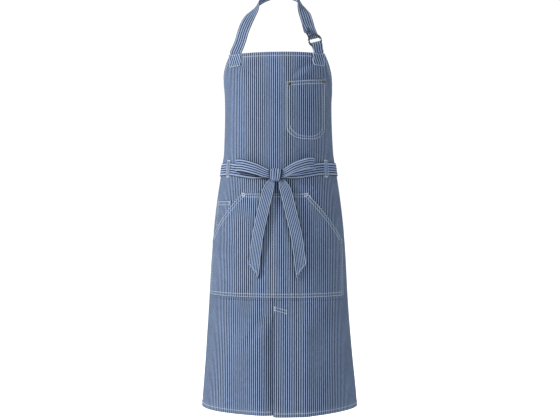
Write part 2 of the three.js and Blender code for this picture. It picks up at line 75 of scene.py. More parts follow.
# ---- Sizes shared with the frame, in metres, measured from the middle of the bib's top edge -------
TO_FRAME = Vector((0, -0.0744, -0.206))
APRON_LENGTH = 0.970
BIB_HALF = 0.143
WAIST_HALF = 0.345
HEM_HALF = 0.385
WAIST_DROP = 0.313
WAIST_STRAIGHT = 0.025
VENT_DROP = 0.700
HEM_WIDTH = 0.011
HEM_ROW = HEM_WIDTH - 0.001  # the hems' row of stitches, from the edge
TIE_WIDTH = 0.035
STRAP_WIDTH = 0.034
PATCH_WIDTH = 0.039
PATCH_HEIGHT = 0.036
PATCH_CORNER = 0.010
UNDERLAP = 0.038
VENT_OVERLAP = 0.020
CHEST_LEFT, CHEST_RIGHT = 0.031, 0.149
CHEST_TOP, CHEST_RISE, CHEST_BOTTOM = 0.080, 0.012, 0.236
CHEST_CORNER, CHEST_ROUND = 0.034, 0.050  # the lower corners, up and across
POUCH_TOP, MOUTH_END, POUCH_BOTTOM, POUCH_TOP_HALF, POUCH_HALF = 0.380, 0.511, 0.660, 0.090, 0.212
COIN_LEFT, COIN_RIGHT, COIN_TOP, COIN_BOTTOM = -0.189, -0.125, 0.400, 0.490
LOOP_PLACES = {"left": -0.142, "right": 0.149}
LOOP_WIDTH, LOOP_LENGTH = 0.0142, 0.049
KNOT_X, KNOT_DROP, KNOT_WIDTH, KNOT_HEIGHT, KNOT_DEPTH = 0.004, 0.3318, 0.035, 0.035, 0.015
BOW_REACH, BOW_RISE = 0.110, 0.028
TAIL_DROP, TAIL_HALF, TAIL_SLANT = 0.590, 0.0165, 0.0165

# Layers, measured outwards from the form that the apron hangs on.
PANEL_MIDDLE = 0.0005
PANEL_FACE = 0.0009
HEM_MIDDLE = -0.0013
OUTER_MIDDLE = 0.0022
TIE_MIDDLE = 0.0024
OVER_TIE_MIDDLE = 0.0044
SKIRT_SPLIT = 0.6675  # the skirt pieces take over here, under the pouch's lower edge
SKIRT_LENGTH = APRON_LENGTH - SKIRT_SPLIT
VENT_GAP = 0.0030  # between the left half's edge and the centre line
VENT_LENGTH = APRON_LENGTH - VENT_DROP
LAP_WIDTH = UNDERLAP + VENT_OVERLAP
FOLD_STEP = 0.0004  # a fold's edge, inside the cloth's edge
UNWORN = 0.01  # an edge distance for cloth that nothing rubs

FORM = (
    (0.060, 0.158, 0.082, -0.026),
    (0.0, 0.155, 0.090, -0.022),
    (-0.128, 0.149, 0.106, -0.012),
    (-0.260, 0.153, 0.113, -0.002),
    (-0.313, 0.161, 0.115, 0.0),
    (-0.403, 0.174, 0.122, 0.0),
    (-0.504, 0.184, 0.128, 0.0),
    (-0.660, 0.194, 0.137, 0.0),
    (-0.800, 0.205, 0.143, 0.0),
    (-0.970, 0.216, 0.150, 0.0),
    (-1.200, 0.226, 0.156, 0.0),
)


# ---- Small maths ---------------------------------------------------------------------------------
def lerp(a, b, t):
    return a + (b - a) * t


def smooth(low, high, value):
    t = min(max((value - low) / (high - low), 0.0), 1.0)
    return t * t * (3 - 2 * t)


def along(values, v):
    """Value at v (0 to 1) on a chain of equally spaced values."""
    place = v * (len(values) - 1)
    i = min(int(place), len(values) - 2)
    return lerp(values[i], values[i + 1], place - i)


def form_at(z):
    """Half width, half depth and middle of the form's ellipse at a height."""
    last = len(FORM) - 1
    i = 0
    while i < last - 1 and z < FORM[i + 1][0]:
        i += 1
    step = FORM[i + 1][0] - FORM[i][0]
    t = (z - FORM[i][0]) / step

    def slope(j, k):
        above, below = FORM[max(j - 1, 0)], FORM[min(j + 1, last)]
        return (below[k] - above[k]) / (below[0] - above[0]) * step

    return [
        FORM[i][k]
        + (FORM[i + 1][k] - FORM[i][k]) * t * t * (3 - 2 * t)
        + slope(i, k) * t * (1 - t) ** 2
        - slope(i + 1, k) * t * t * (1 - t)
        for k in (1, 2, 3)
    ]


ARC_STEPS = 360
ARC_LEVEL = 0.0005  # height between two arc tables


@functools.lru_cache(maxsize=None)
def arc_table(level):
    """Arc length from the centre front at every degree round the form, at a height in half millimetres."""
    half_width, half_depth, _ = form_at(level * ARC_LEVEL)
    step = math.radians(1)
    run, table = 0.0, [0.0]
    for i in range(ARC_STEPS):
        middle = (i + 0.5) * step
        run += step * math.hypot(half_width * math.cos(middle), half_depth * math.sin(middle))
        table.append(run)
    return table


def angle_at(s, z):
    """Angle round the form, from the centre front, at arc length s."""
    level = math.floor(z / ARC_LEVEL)
    angles = []
    for step in (0, 1):
        table = arc_table(level + step)
        reach = abs(s)
        low, high = 0, ARC_STEPS
        while high - low > 1:
            middle = (low + high) // 2
            low, high = (middle, high) if table[middle] <= reach else (low, middle)
        angles.append(math.radians(low + (reach - table[low]) / (table[high] - table[low])))
    return math.copysign(lerp(angles[0], angles[1], z / ARC_LEVEL - level), s)


def lift_off(angle, z, lift):
    """Point at an angle and height, lifted off the form, in the frame's coordinates."""
    half_width, half_depth, middle = form_at(z)
    normal = Vector((math.sin(angle) / half_width, -math.cos(angle) / half_depth, 0)).normalized()
    foot = Vector((half_width * math.sin(angle), middle - half_depth * math.cos(angle), z))
    return foot + normal * lift + TO_FRAME


def sway(s, z):
    """How far the cloth stands off the form here: soft folds that every layer shares."""
    depth = -z
    soft = 0.0016 * noise.noise(Vector((s * 9, z * 4, 0.3)))
    hang = 0.0040 * smooth(0.45, 0.97, depth) * math.sin(s * 24 + 2.2 * noise.noise(Vector((z * 2, 0, 5))))
    waist = math.exp(-(((depth - WAIST_DROP) / 0.055) ** 2))
    gather = -0.0008 * waist + 0.0011 * waist * noise.noise(Vector((s * 38, z * 6, 2)))
    corner = math.hypot(abs(s) - 0.10, z + 0.03)
    drag = 0.0012 * math.exp(-corner / 0.09) * math.sin(42 * (abs(s) - 0.55 * depth))
    thigh = 0.0055 * smooth(0.37, 0.47, depth) * (1 - smooth(0.60, 0.74, depth))
    thigh *= math.exp(-(((s + 0.09) / 0.08) ** 2))
    return soft + hang + gather + drag + thigh + pull(s, depth)


def pull(s, depth):
    """The strap and the tab pull a slanting fold into the bib from each top corner."""
    down = depth - 0.030
    if down < -0.03 or down > 0.05:
        return 0.0
    off = abs(s) - (0.100 - 1.25 * down)
    reach = smooth(-0.012, 0.010, down) * (1 - smooth(0.018, 0.046, down))
    height = 0.0030 if s > 0 else 0.0018
    ridge = math.exp(-(((off - 0.014) / 0.012) ** 2))
    hollow = math.exp(-(((off + 0.010) / 0.012) ** 2))
    return reach * height * (ridge - hollow)


def on_form(s, z, lift):
    return lift_off(angle_at(s, z), z, lift + sway(s, z))


def corner_tuck(z, side):
    """The strap draws the left corner of the bib in a little."""
    return 0.008 * smooth(-0.075, 0.0, z) if side < 0 else 0.0


def edge_at(z, side=1):
    """Half width of the body panel at a height, on one side."""
    waist_top, waist_bottom = -(WAIST_DROP - WAIST_STRAIGHT), -(WAIST_DROP + WAIST_STRAIGHT)
    if z > waist_top:
        return lerp(BIB_HALF, WAIST_HALF, z / waist_top) - corner_tuck(z, side)
    if z > waist_bottom:
        return WAIST_HALF
    return lerp(WAIST_HALF, HEM_HALF, (z - waist_bottom) / (-APRON_LENGTH - waist_bottom))


def catmull(points, t):
    """Point at t (0 to 1) on a smooth curve through vectors."""
    place = t * (len(points) - 1)
    i = min(int(place), len(points) - 2)
    f = place - i
    before, after = points[max(i - 1, 0)], points[min(i + 2, len(points) - 1)]
    p, q = points[i], points[i + 1]
    mp, mq = (q - before) / 2, (after - p) / 2
    h = f * f * (3 - 2 * f)
    return p + (q - p) * h + mp * (f * (1 - f) ** 2) - mq * (f * f * (1 - f))


# ---- Settings ------------------------------------------------------------------------------------
class ApronSizes(bpy.types.PropertyGroup):
    """Sizes of the cloth's detail."""

    grid: FloatProperty(
        name="Cloth Grid", description="Size of the cloth's mesh squares", default=0.005, unit="LENGTH"
    )
    cloth: FloatProperty(
        name="Cloth Thickness", description="Thickness of one layer", default=0.0008, unit="LENGTH"
    )
    tape: FloatProperty(
        name="Tape Thickness", description="Thickness of folded tape", default=0.0012, unit="LENGTH"
    )
    pitch: FloatProperty(
        name="Stripe Pitch", description="Distance between stripes", default=0.0058, unit="LENGTH"
    )
    stitch: FloatProperty(
        name="Stitch Length", description="Length of one stitch", default=0.0034, unit="LENGTH"
    )
    stitch_gap: FloatProperty(
        name="Stitch Gap", description="Space between stitches", default=0.0009, unit="LENGTH"
    )
    thread: FloatProperty(
        name="Thread Radius", description="Half the thread's width", default=0.00070, unit="LENGTH"
    )
    wire: FloatProperty(
        name="Ring Wire Radius", description="Half the ring wire's width", default=0.0018, unit="LENGTH"
    )


class ApronColours(bpy.types.PropertyGroup):
    """Colours of the cloth, thread and metal."""

    indigo: FloatVectorProperty(
        name="Indigo", description="Dark stripe", default=(0.012, 0.022, 0.060), subtype="COLOR", size=3
    )
    ecru: FloatVectorProperty(
        name="Ecru", description="Light stripe", default=(0.42, 0.53, 0.765), subtype="COLOR", size=3
    )
    thread: FloatVectorProperty(
        name="Thread", description="Sewing thread", default=(0.90, 0.96, 1.0), subtype="COLOR", size=3
    )
    ring: FloatVectorProperty(
        name="Ring Metal", description="Antique plating", default=(0.34, 0.35, 0.36), subtype="COLOR", size=3
    )
    brass: FloatVectorProperty(
        name="Rivet Brass", description="Aged brass", default=(0.40, 0.31, 0.13), subtype="COLOR", size=3
    )


class ApronStage(bpy.types.PropertyGroup):
    """Camera and lights."""

    distance: FloatProperty(
        name="Camera Distance", description="From the apron's axis", default=2.52, unit="LENGTH"
    )
    azimuth: FloatProperty(
        name="Camera Azimuth", description="Turn round the apron", default=0.096, subtype="ANGLE"
    )
    lens: FloatProperty(name="Lens", description="Focal length in millimetres", default=57.57)
    key: FloatProperty(name="Key Light", description="Power of the light at the left", default=62.0)
    fill: FloatProperty(name="Fill Light", description="Power of the light at the right", default=11.5)
    ambient: FloatProperty(name="Ambient", description="Strength of the light all round", default=0.33)


# ---- Node helpers --------------------------------------------------------------------------------
def link(tree, source, target):
    tree.links.new(source, target)


def feed(tree, value, socket):
    """Links another node's output to a socket, or sets the socket's own value."""
    if isinstance(value, bpy.types.NodeSocket):
        link(tree, value, socket)
    else:
        socket.default_value = value


def math_node(tree, operation, a, b=None, clamp=False):
    node = tree.nodes.new("ShaderNodeMath")
    node.operation = operation
    node.use_clamp = clamp
    for socket, value in zip(node.inputs, (a, b)):
        if value is not None:
            feed(tree, value, socket)
    return node.outputs[0]


def mix_colour(tree, blend, factor, a, b):
    node = tree.nodes.new("ShaderNodeMix")
    node.data_type = "RGBA"
    node.blend_type = blend
    for socket, value in ((node.inputs[0], factor), (node.inputs[6], a), (node.inputs[7], b)):
        feed(tree, value, socket)
    return node.outputs[2]


def scale_colour(tree, colour, factor):
    node = tree.nodes.new("ShaderNodeVectorMath")
    node.operation = "SCALE"
    link(tree, colour, node.inputs[0])
    link(tree, factor, node.inputs["Scale"])
    return node.outputs[0]


def noise_node(tree, vector, scale, detail=2.0, roughness=0.5):
    node = tree.nodes.new("ShaderNodeTexNoise")
    node.inputs["Scale"].default_value = scale
    node.inputs["Detail"].default_value = detail
    node.inputs["Roughness"].default_value = roughness
    link(tree, vector, node.inputs["Vector"])
    return node.outputs["Fac"]


def stretch_node(tree, vector, scale):
    node = tree.nodes.new("ShaderNodeMapping")
    node.inputs["Scale"].default_value = scale
    link(tree, vector, node.inputs["Vector"])
    return node.outputs["Vector"]


def map_range(tree, value, low, high, to_low, to_high, smoothly=False):
    node = tree.nodes.new("ShaderNodeMapRange")
    node.interpolation_type = "SMOOTHSTEP" if smoothly else "LINEAR"
    link(tree, value, node.inputs["Value"])
    for name, bound in (("From Min", low), ("From Max", high), ("To Min", to_low), ("To Max", to_high)):
        feed(tree, bound, node.inputs[name])
    return node.outputs["Result"]


def new_group(name, inputs, outputs):
    group = bpy.data.node_groups.new(name, "ShaderNodeTree")
    for kind, label, default in inputs:
        socket = group.interface.new_socket(name=label, in_out="INPUT", socket_type=kind)
        if default is not None:
            socket.default_value = default
    for kind, label in outputs:
        group.interface.new_socket(name=label, in_out="OUTPUT", socket_type=kind)
    return group, group.nodes.new("NodeGroupInput"), group.nodes.new("NodeGroupOutput")


def stripe_weave_group():
    """Woven stripes: indigo and ecru warp threads with slubs, and a fine twill in the height."""
    group, given, result = new_group(
        "Stripe Weave",
        [
            ("NodeSocketVector", "Cloth", None),
            ("NodeSocketFloat", "Pitch", 0.0058),
            ("NodeSocketFloat", "Dark Share", 0.52),
            ("NodeSocketColor", "Indigo", (0, 0, 0.1, 1)),
            ("NodeSocketColor", "Ecru", (1, 1, 1, 1)),
        ],
        [("NodeSocketColor", "Color"), ("NodeSocketFloat", "Height"), ("NodeSocketFloat", "Stripe")],
    )
    cloth = given.outputs["Cloth"]
    split = group.nodes.new("ShaderNodeSeparateXYZ")
    link(group, cloth, split.inputs[0])
    waver = noise_node(group, stretch_node(group, cloth, (40, 14, 1)), 1.0)
    shift = math_node(group, "MULTIPLY", math_node(group, "SUBTRACT", waver, 0.5), 0.0006)
    across = math_node(
        group, "DIVIDE", math_node(group, "ADD", split.outputs[0], shift), given.outputs["Pitch"]
    )
    saw = math_node(group, "FRACT", across)
    ridge = math_node(group, "ABSOLUTE", math_node(group, "SUBTRACT", saw, 0.5))
    half = math_node(group, "MULTIPLY", given.outputs["Dark Share"], 0.5)
    stripe = map_range(
        group, ridge, math_node(group, "SUBTRACT", half, 0.045), math_node(group, "ADD", half, 0.045), 0, 1
    )
    slub = noise_node(group, stretch_node(group, cloth, (1500, 70, 1)), 1.0, detail=3)
    weft = noise_node(group, stretch_node(group, cloth, (90, 1300, 1)), 1.0)
    base = mix_colour(group, "MIX", stripe, given.outputs["Indigo"], given.outputs["Ecru"])
    tone = map_range(group, slub, 0.25, 0.75, 0.72, 1.26)
    flecks = map_range(group, weft, 0.35, 0.75, 0.88, 1.16)
    link(
        group, scale_colour(group, base, math_node(group, "MULTIPLY", tone, flecks)), result.inputs["Color"]
    )
    rib = math_node(group, "SINE", math_node(group, "MULTIPLY", split.outputs[0], 2 * math.pi / 0.0009))
    slope = math_node(group, "ADD", split.outputs[0], math_node(group, "MULTIPLY", split.outputs[1], 1.3))
    twill = math_node(group, "SINE", math_node(group, "MULTIPLY", slope, 2 * math.pi / 0.0013))
    height = math_node(
        group, "ADD", math_node(group, "MULTIPLY", rib, 0.35), math_node(group, "MULTIPLY", twill, 0.65)
    )
    link(group, math_node(group, "ADD", height, slub), result.inputs["Height"])
    link(group, stripe, result.inputs["Stripe"])
    return group


def wash_fade_group():
    """Fading along worn edges and seams, and a faint cloudiness from washing."""
    group, given, result = new_group(
        "Wash Fade",
        [
            ("NodeSocketColor", "Color", (1, 1, 1, 1)),
            ("NodeSocketVector", "Cloth", None),
            ("NodeSocketFloat", "Worn", 0.0),
            ("NodeSocketFloat", "Amount", 0.35),
        ],
        [("NodeSocketColor", "Color"), ("NodeSocketFloat", "Fade")],
    )
    cloth = given.outputs["Cloth"]
    patchy = noise_node(group, cloth, 240.0, detail=3)
    worn = math_node(
        group, "MULTIPLY", given.outputs["Worn"], map_range(group, patchy, 0.3, 0.7, 0.35, 1.2), clamp=True
    )
    fade = math_node(group, "MULTIPLY", worn, given.outputs["Amount"])
    faded = mix_colour(group, "MIX", fade, given.outputs["Color"], (0.46, 0.53, 0.68, 1))
    cloud = map_range(group, noise_node(group, cloth, 11.0, detail=3), 0.3, 0.7, 0.92, 1.08)
    link(group, scale_colour(group, faded, cloud), result.inputs["Color"])
    link(group, fade, result.inputs["Fade"])
    return group


def patina_group():
    """Plated metal: dark tarnish and rubbed bright metal in random patches, with fine scratches in the
    height.
    """
    group, given, result = new_group(
        "Patina",
        [
            ("NodeSocketVector", "Place", None),
            ("NodeSocketColor", "Metal", (0.2, 0.2, 0.2, 1)),
            ("NodeSocketColor", "Tarnish", (0.03, 0.03, 0.03, 1)),
            ("NodeSocketFloat", "Roughness", 0.35),
        ],
        [("NodeSocketColor", "Color"), ("NodeSocketFloat", "Roughness"), ("NodeSocketFloat", "Height")],
    )
    place = given.outputs["Place"]
    cloud = noise_node(group, place, 420.0, detail=4, roughness=0.6)
    fine = noise_node(group, stretch_node(group, place, (900, 900, 4200)), 1.0, detail=2)
    rubbed = map_range(group, cloud, 0.38, 0.62, 0, 1, smoothly=True)
    link(
        group,
        mix_colour(group, "MIX", rubbed, given.outputs["Tarnish"], given.outputs["Metal"]),
        result.inputs["Color"],
    )
    dull = map_range(group, cloud, 0.3, 0.7, 1.5, 0.8)
    link(
        group,
        math_node(group, "MULTIPLY", dull, given.outputs["Roughness"], clamp=True),
        result.inputs["Roughness"],
    )
    link(
        group,
        math_node(group, "ADD", cloud, math_node(group, "MULTIPLY", fine, 0.3)),
        result.inputs["Height"],
    )
    return group


def group_node(tree, name):
    node = tree.nodes.new("ShaderNodeGroup")
    node.node_tree = bpy.data.node_groups[name]
    return node


def new_material(name):
    material = bpy.data.materials.new(name)
    material.use_nodes = True
    tree = material.node_tree
    tree.nodes.clear()
    shader = tree.nodes.new("ShaderNodeBsdfPrincipled")
    output = tree.nodes.new("ShaderNodeOutputMaterial")
    link(tree, shader.outputs[0], output.inputs["Surface"])
    return material, tree, shader


def add_bump(tree, shader, height, strength, distance):
    bump = tree.nodes.new("ShaderNodeBump")
    bump.inputs["Strength"].default_value = strength
    bump.inputs["Distance"].default_value = distance
    link(tree, height, bump.inputs["Height"])
    link(tree, bump.outputs["Normal"], shader.inputs["Normal"])


def denim_material(name, sizes, colours, dark_share, fade, wider=1.0):
    """Striped twill that reads the piece's own cloth map, in metres."""
    material, tree, shader = new_material(name)
    cloth = tree.nodes.new("ShaderNodeUVMap")
    cloth.uv_map = "Cloth"
    weave = group_node(tree, "Stripe Weave")
    for label, value in (
        ("Cloth", cloth.outputs["UV"]),
        ("Pitch", sizes.pitch * wider),
        ("Dark Share", dark_share),
        ("Indigo", (*colours.indigo, 1)),
        ("Ecru", (*colours.ecru, 1)),
    ):
        feed(tree, value, weave.inputs[label])
    wash = group_node(tree, "Wash Fade")
    worn = tree.nodes.new("ShaderNodeAttribute")
    worn.attribute_name = "worn"
    link(tree, cloth.outputs["UV"], wash.inputs["Cloth"])
    link(tree, weave.outputs["Color"], wash.inputs["Color"])
    link(tree, worn.outputs["Fac"], wash.inputs["Worn"])
    wash.inputs["Amount"].default_value = fade
    link(tree, wash.outputs["Color"], shader.inputs["Base Color"])
    link(tree, map_range(tree, wash.outputs["Fade"], 0, 1, 0.88, 0.95), shader.inputs["Roughness"])
    shader.inputs["Specular IOR Level"].default_value = 0.25
    shader.inputs["Sheen Weight"].default_value = 0.05
    shader.inputs["Sheen Roughness"].default_value = 0.6
    add_bump(tree, shader, weave.outputs["Height"], 0.35, 0.00012)
    return material


def thread_material(colours):
    material, tree, shader = new_material("Cotton Thread")
    place = tree.nodes.new("ShaderNodeTexCoord").outputs["Object"]
    twist = noise_node(tree, place, 2600.0, detail=2)
    shade = map_range(tree, twist, 0.3, 0.7, 0.90, 1.0)
    colour = mix_colour(tree, "MULTIPLY", 1.0, (*colours.thread, 1), shade)
    link(tree, colour, shader.inputs["Base Color"])
    shader.inputs["Roughness"].default_value = 0.8
    shader.inputs["Sheen Weight"].default_value = 0.2
    add_bump(tree, shader, twist, 0.4, 0.0002)
    return material


def metal_material(name, colour, tarnish, roughness):
    material, tree, shader = new_material(name)
    place = tree.nodes.new("ShaderNodeTexCoord").outputs["Object"]
    patina = group_node(tree, "Patina")
    link(tree, place, patina.inputs["Place"])
    patina.inputs["Metal"].default_value = (*colour, 1)
    patina.inputs["Tarnish"].default_value = (*tarnish, 1)
    patina.inputs["Roughness"].default_value = roughness
    link(tree, patina.outputs["Color"], shader.inputs["Base Color"])
    link(tree, patina.outputs["Roughness"], shader.inputs["Roughness"])
    shader.inputs["Metallic"].default_value = 1.0
    add_bump(tree, shader, patina.outputs["Height"], 0.25, 0.0002)
    return material


# ---- Piece helpers -------------------------------------------------------------------------------
def grid_mesh(columns, rows, place):
    """A square grid moved by place(u, v), which gives a point, its cloth coordinates and its wear."""
    bm = bmesh.new()
    bmesh.ops.create_grid(bm, x_segments=columns, y_segments=rows, size=0.5)
    cloth = bm.loops.layers.uv.new("Cloth")
    worn = bm.verts.layers.float.new("worn")
    spots = {}
    for vert in bm.verts:
        point, spot, wear = place(vert.co.x + 0.5, vert.co.y + 0.5)
        vert.co = point
        vert[worn] = wear
        spots[vert.index] = spot
    for face in bm.faces:
        face.smooth = True
        for loop in face.loops:
            loop[cloth].uv = spots[loop.vert.index]
    return bm


def join_bmesh(target, source):
    """Adds one bmesh's shapes to another."""
    mesh = bpy.data.meshes.new("joined")
    source.to_mesh(mesh)
    target.from_mesh(mesh)
    bpy.data.meshes.remove(mesh)
    source.free()


def new_object(name, bm, material):
    mesh = bpy.data.meshes.new(name)
    bm.to_mesh(mesh)
    bm.free()
    mesh.materials.append(material)
    obj = bpy.data.objects.new(name, mesh)
    bpy.context.collection.objects.link(obj)
    return obj


def thicken(obj, thickness):
    """Gives a sheet its thickness on both sides of its middle and keeps the result as its mesh."""
    solid = obj.modifiers.new("Thickness", "SOLIDIFY")
    solid.thickness = thickness
    solid.offset = 0
    solid.use_even_offset = False
    evaluated = obj.evaluated_get(bpy.context.evaluated_depsgraph_get())
    finished = bpy.data.meshes.new_from_object(evaluated)
    plain = obj.data
    obj.modifiers.clear()
    obj.data = finished
    bpy.data.meshes.remove(plain)
    finished.name = obj.name


def attach(obj, body, replaced=(), bend=None):
    """Puts a piece on its body, or only bakes its placement into its mesh when a bend is given, and hides the
    frame parts it replaces.
    """
    if bend is None:
        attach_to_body(obj, body)
    else:
        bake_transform(obj)
    if replaced:
        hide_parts(*replaced)


def wear_from(distance, reach=0.004):
    """Wear near an edge or seam at a distance in metres."""
    return math.exp(-max(distance, 0.0) / reach)


def settle(depth, edge, reach=0.004):
    """How far a sewn edge lies down towards the layer under it."""
    return -depth * (1 - smooth(0, reach, edge))


def hem_roll(rim):
    """The folded hem under an edge lifts the cloth over it."""
    return 0.0004 * (1 - smooth(HEM_WIDTH - 0.002, HEM_WIDTH + 0.001, rim))


def cloth_piece(context, name, size, place, material="Striped Denim", thickness=None):
    """A cloth layer from a grid of the size given, in metres along and up the cloth."""
    sizes = context.scene.apron_sizes
    columns = max(2, round(size[0] / sizes.grid))
    rows = max(2, round(size[1] / sizes.grid))
    bm = grid_mesh(columns, rows, place)
    obj = new_object(name, bm, bpy.data.materials[material])
    thicken(obj, thickness or sizes.cloth)
    return obj


def form_place(s, z, lift, edge, cloth=None):
    """What place gives for a layer on the form: edge is the distance to its nearest edge or seam."""
    return on_form(s, z, lift), cloth or (s, z), wear_from(edge)


# ---- Stitching -----------------------------------------------------------------------------------
def walk(points, pace):
    """Points and directions at equal steps along a chain of points."""
    spots, left = [], pace / 2
    for a, b in zip(points, points[1:]):
        run = (b - a).length
        while left <= run:
            spots.append((a.lerp(b, left / run), (b - a).normalized()))
            left += pace
        left -= run
    return spots


def stitch_bmesh(context, runs):
    """Rows of stitches along chains of points, each stitch a slim six-sided bead lying on the cloth."""
    sizes = context.scene.apron_sizes
    whole = bmesh.new()
    for points in runs:
        part = bmesh.new()
        for spot, direction in walk(points, sizes.stitch + sizes.stitch_gap):
            turn = direction.to_track_quat("Z", "Y").to_matrix().to_4x4()
            stretch = Matrix.Diagonal((sizes.thread, sizes.thread, sizes.stitch / 2, 1))
            place = Matrix.Translation(spot) @ turn @ stretch
            bmesh.ops.create_uvsphere(part, u_segments=6, v_segments=4, radius=1, matrix=place)
        join_bmesh(whole, part)
    for face in whole.faces:
        face.smooth = True
    return whole


def stitch_piece(context, name, runs, body, bend=None):
    obj = new_object(name, stitch_bmesh(context, runs), bpy.data.materials["Cotton Thread"])
    attach(obj, body, bend=bend)
    return obj


THREAD_RISE = 0.0007  # from a layer's middle to the thread's middle


def row_on_form(spots, lift, step=0.006):
    """A chain of points on the form through straight stretches of (s, z). lift is a number or lift(s, z)."""
    points = []
    for (s0, z0), (s1, z1) in zip(spots, spots[1:]):
        count = max(1, round(math.hypot(s1 - s0, z1 - z0) / step))
        for i in range(count + 1):
            s, z = lerp(s0, s1, i / count), lerp(z0, z1, i / count)
            rise = lift(s, z) if callable(lift) else lift
            points.append(on_form(s, z, rise + THREAD_RISE))
    return points


def bar_tack(s, z, ds, dz, lift, count=7, half=0.0014):
    """A dense bar of short stitches from (s, z) along (ds, dz)."""
    length = math.hypot(ds, dz)
    side = (-dz / length * half, ds / length * half)
    rows = []
    for i in range(count):
        f = i / (count - 1)
        middle = (s + ds * f, z + dz * f)
        ends = [(middle[0] + side[0] * way, middle[1] + side[1] * way) for way in (-1.2, 1.2)]
        rows.append(row_on_form(ends, lift + 0.0003, step=0.01))
    return rows


# ---- Bends over the joints -----------------------------------------------------------------------
def skirt_bend(side):
    """Two points for the skirt halves' bend: at the vent's head and near the hem."""
    x = side * 0.1
    return (Vector((x, -0.2, -VENT_DROP)) + TO_FRAME, Vector((x, -0.2, -APRON_LENGTH + 0.03)) + TO_FRAME)


def corner_bend():
    """Two points for the free tapes' bend, 9 mm apart in height near the bib's top edge."""
    foot = Vector((0, -0.09, 0.001)) + TO_FRAME
    return (foot + Vector((0, 0, 0.009)), foot)


SIDES = ((-1, "left"), (1, "right"))


# ---- Operators -----------------------------------------------------------------------------------
class APRON_OT_materials(bpy.types.Operator):
    """Make the striped denim, thread and metal materials"""

    bl_idname = "apron.materials"
    bl_label = "Apron Materials"

    def execute(self, context):
        sizes, colours = context.scene.apron_sizes, context.scene.apron_colours
        stripe_weave_group()
        wash_fade_group()
        patina_group()
        denim_material("Striped Denim", sizes, colours, 0.56, 0.26)
        denim_material("Striped Tape", sizes, colours, 0.48, 0.12, 1.12)
        thread_material(colours)
        metal_material("Antique Plating", colours.ring, (0.03, 0.03, 0.032), 0.34)
        metal_material("Aged Brass", colours.brass, (0.05, 0.045, 0.03), 0.38)
        return {"FINISHED"}


class APRON_OT_panel(bpy.types.Operator):
    """Make the body panel from the bib down to the pouch's lower edge, with its folded hems"""

    bl_idname = "apron.panel"
    bl_label = "Body Panel"

    def execute(self, context):
        def place(u, v):
            z = lerp(-SKIRT_SPLIT, 0, v)
            s = lerp(-edge_at(z, -1), edge_at(z, 1), u)
            edge = edge_at(z, -1 if s < 0 else 1)
            rim = min(edge - abs(s), -z)
            roll = hem_roll(rim)
            pucker = 0.00035 * noise.noise(Vector((s * 170, z * 170, 0))) * wear_from(
                abs(rim - HEM_WIDTH), 0.006
            )
            return form_place(s, z, PANEL_MIDDLE + roll + pucker, min(rim, abs(rim - HEM_WIDTH)))

        panel = cloth_piece(context, "panel_cloth", (2 * WAIST_HALF, SKIRT_SPLIT), place)
        attach(panel, "apron", ("body_panel",))

        def top_hem(u, v):
            z = lerp(-HEM_WIDTH, -0.0003, v)
            s = lerp(-edge_at(z, -1) + HEM_WIDTH, edge_at(z, 1) - HEM_WIDTH, u)
            return form_place(s, z, HEM_MIDDLE, UNWORN)

        hem = cloth_piece(context, "bib_top_hem_cloth", (2 * BIB_HALF, HEM_WIDTH), top_hem)
        attach(hem, "apron", ("bib_top_hem",))
        for side, word in SIDES:
            self.edge_hem(context, side, f"armhole_hem_{word}", 0, -WAIST_DROP + WAIST_STRAIGHT, panel)
            self.edge_hem(
                context, side, f"side_hem_{word}", -WAIST_DROP + WAIST_STRAIGHT, -SKIRT_SPLIT, panel
            )
        top_row = [(-BIB_HALF + 0.006, -HEM_ROW), (BIB_HALF - 0.006, -HEM_ROW)]
        runs = [row_on_form(top_row, PANEL_FACE)]
        for side, _ in SIDES:
            heights = [
                -0.002,
                -0.035,
                -0.075,
                -WAIST_DROP + WAIST_STRAIGHT,
                -WAIST_DROP - WAIST_STRAIGHT,
                -SKIRT_SPLIT,
            ]
            runs.append(
                row_on_form([(side * (edge_at(z, side) - HEM_ROW), z) for z in heights], PANEL_FACE)
            )
        stitch_piece(context, "panel_hem_stitches", runs, "apron")
        return {"FINISHED"}

    def edge_hem(self, context, side, node, top, bottom, panel):
        def place(u, v):
            z = lerp(bottom, top, v)
            inset = lerp(FOLD_STEP, HEM_WIDTH, 1 - u if side > 0 else u)
            return form_place(side * (edge_at(z, side) - inset), z, HEM_MIDDLE, UNWORN)

        hem = cloth_piece(context, node + "_cloth", (HEM_WIDTH, top - bottom), place)
        attach(hem, "apron", (node,))


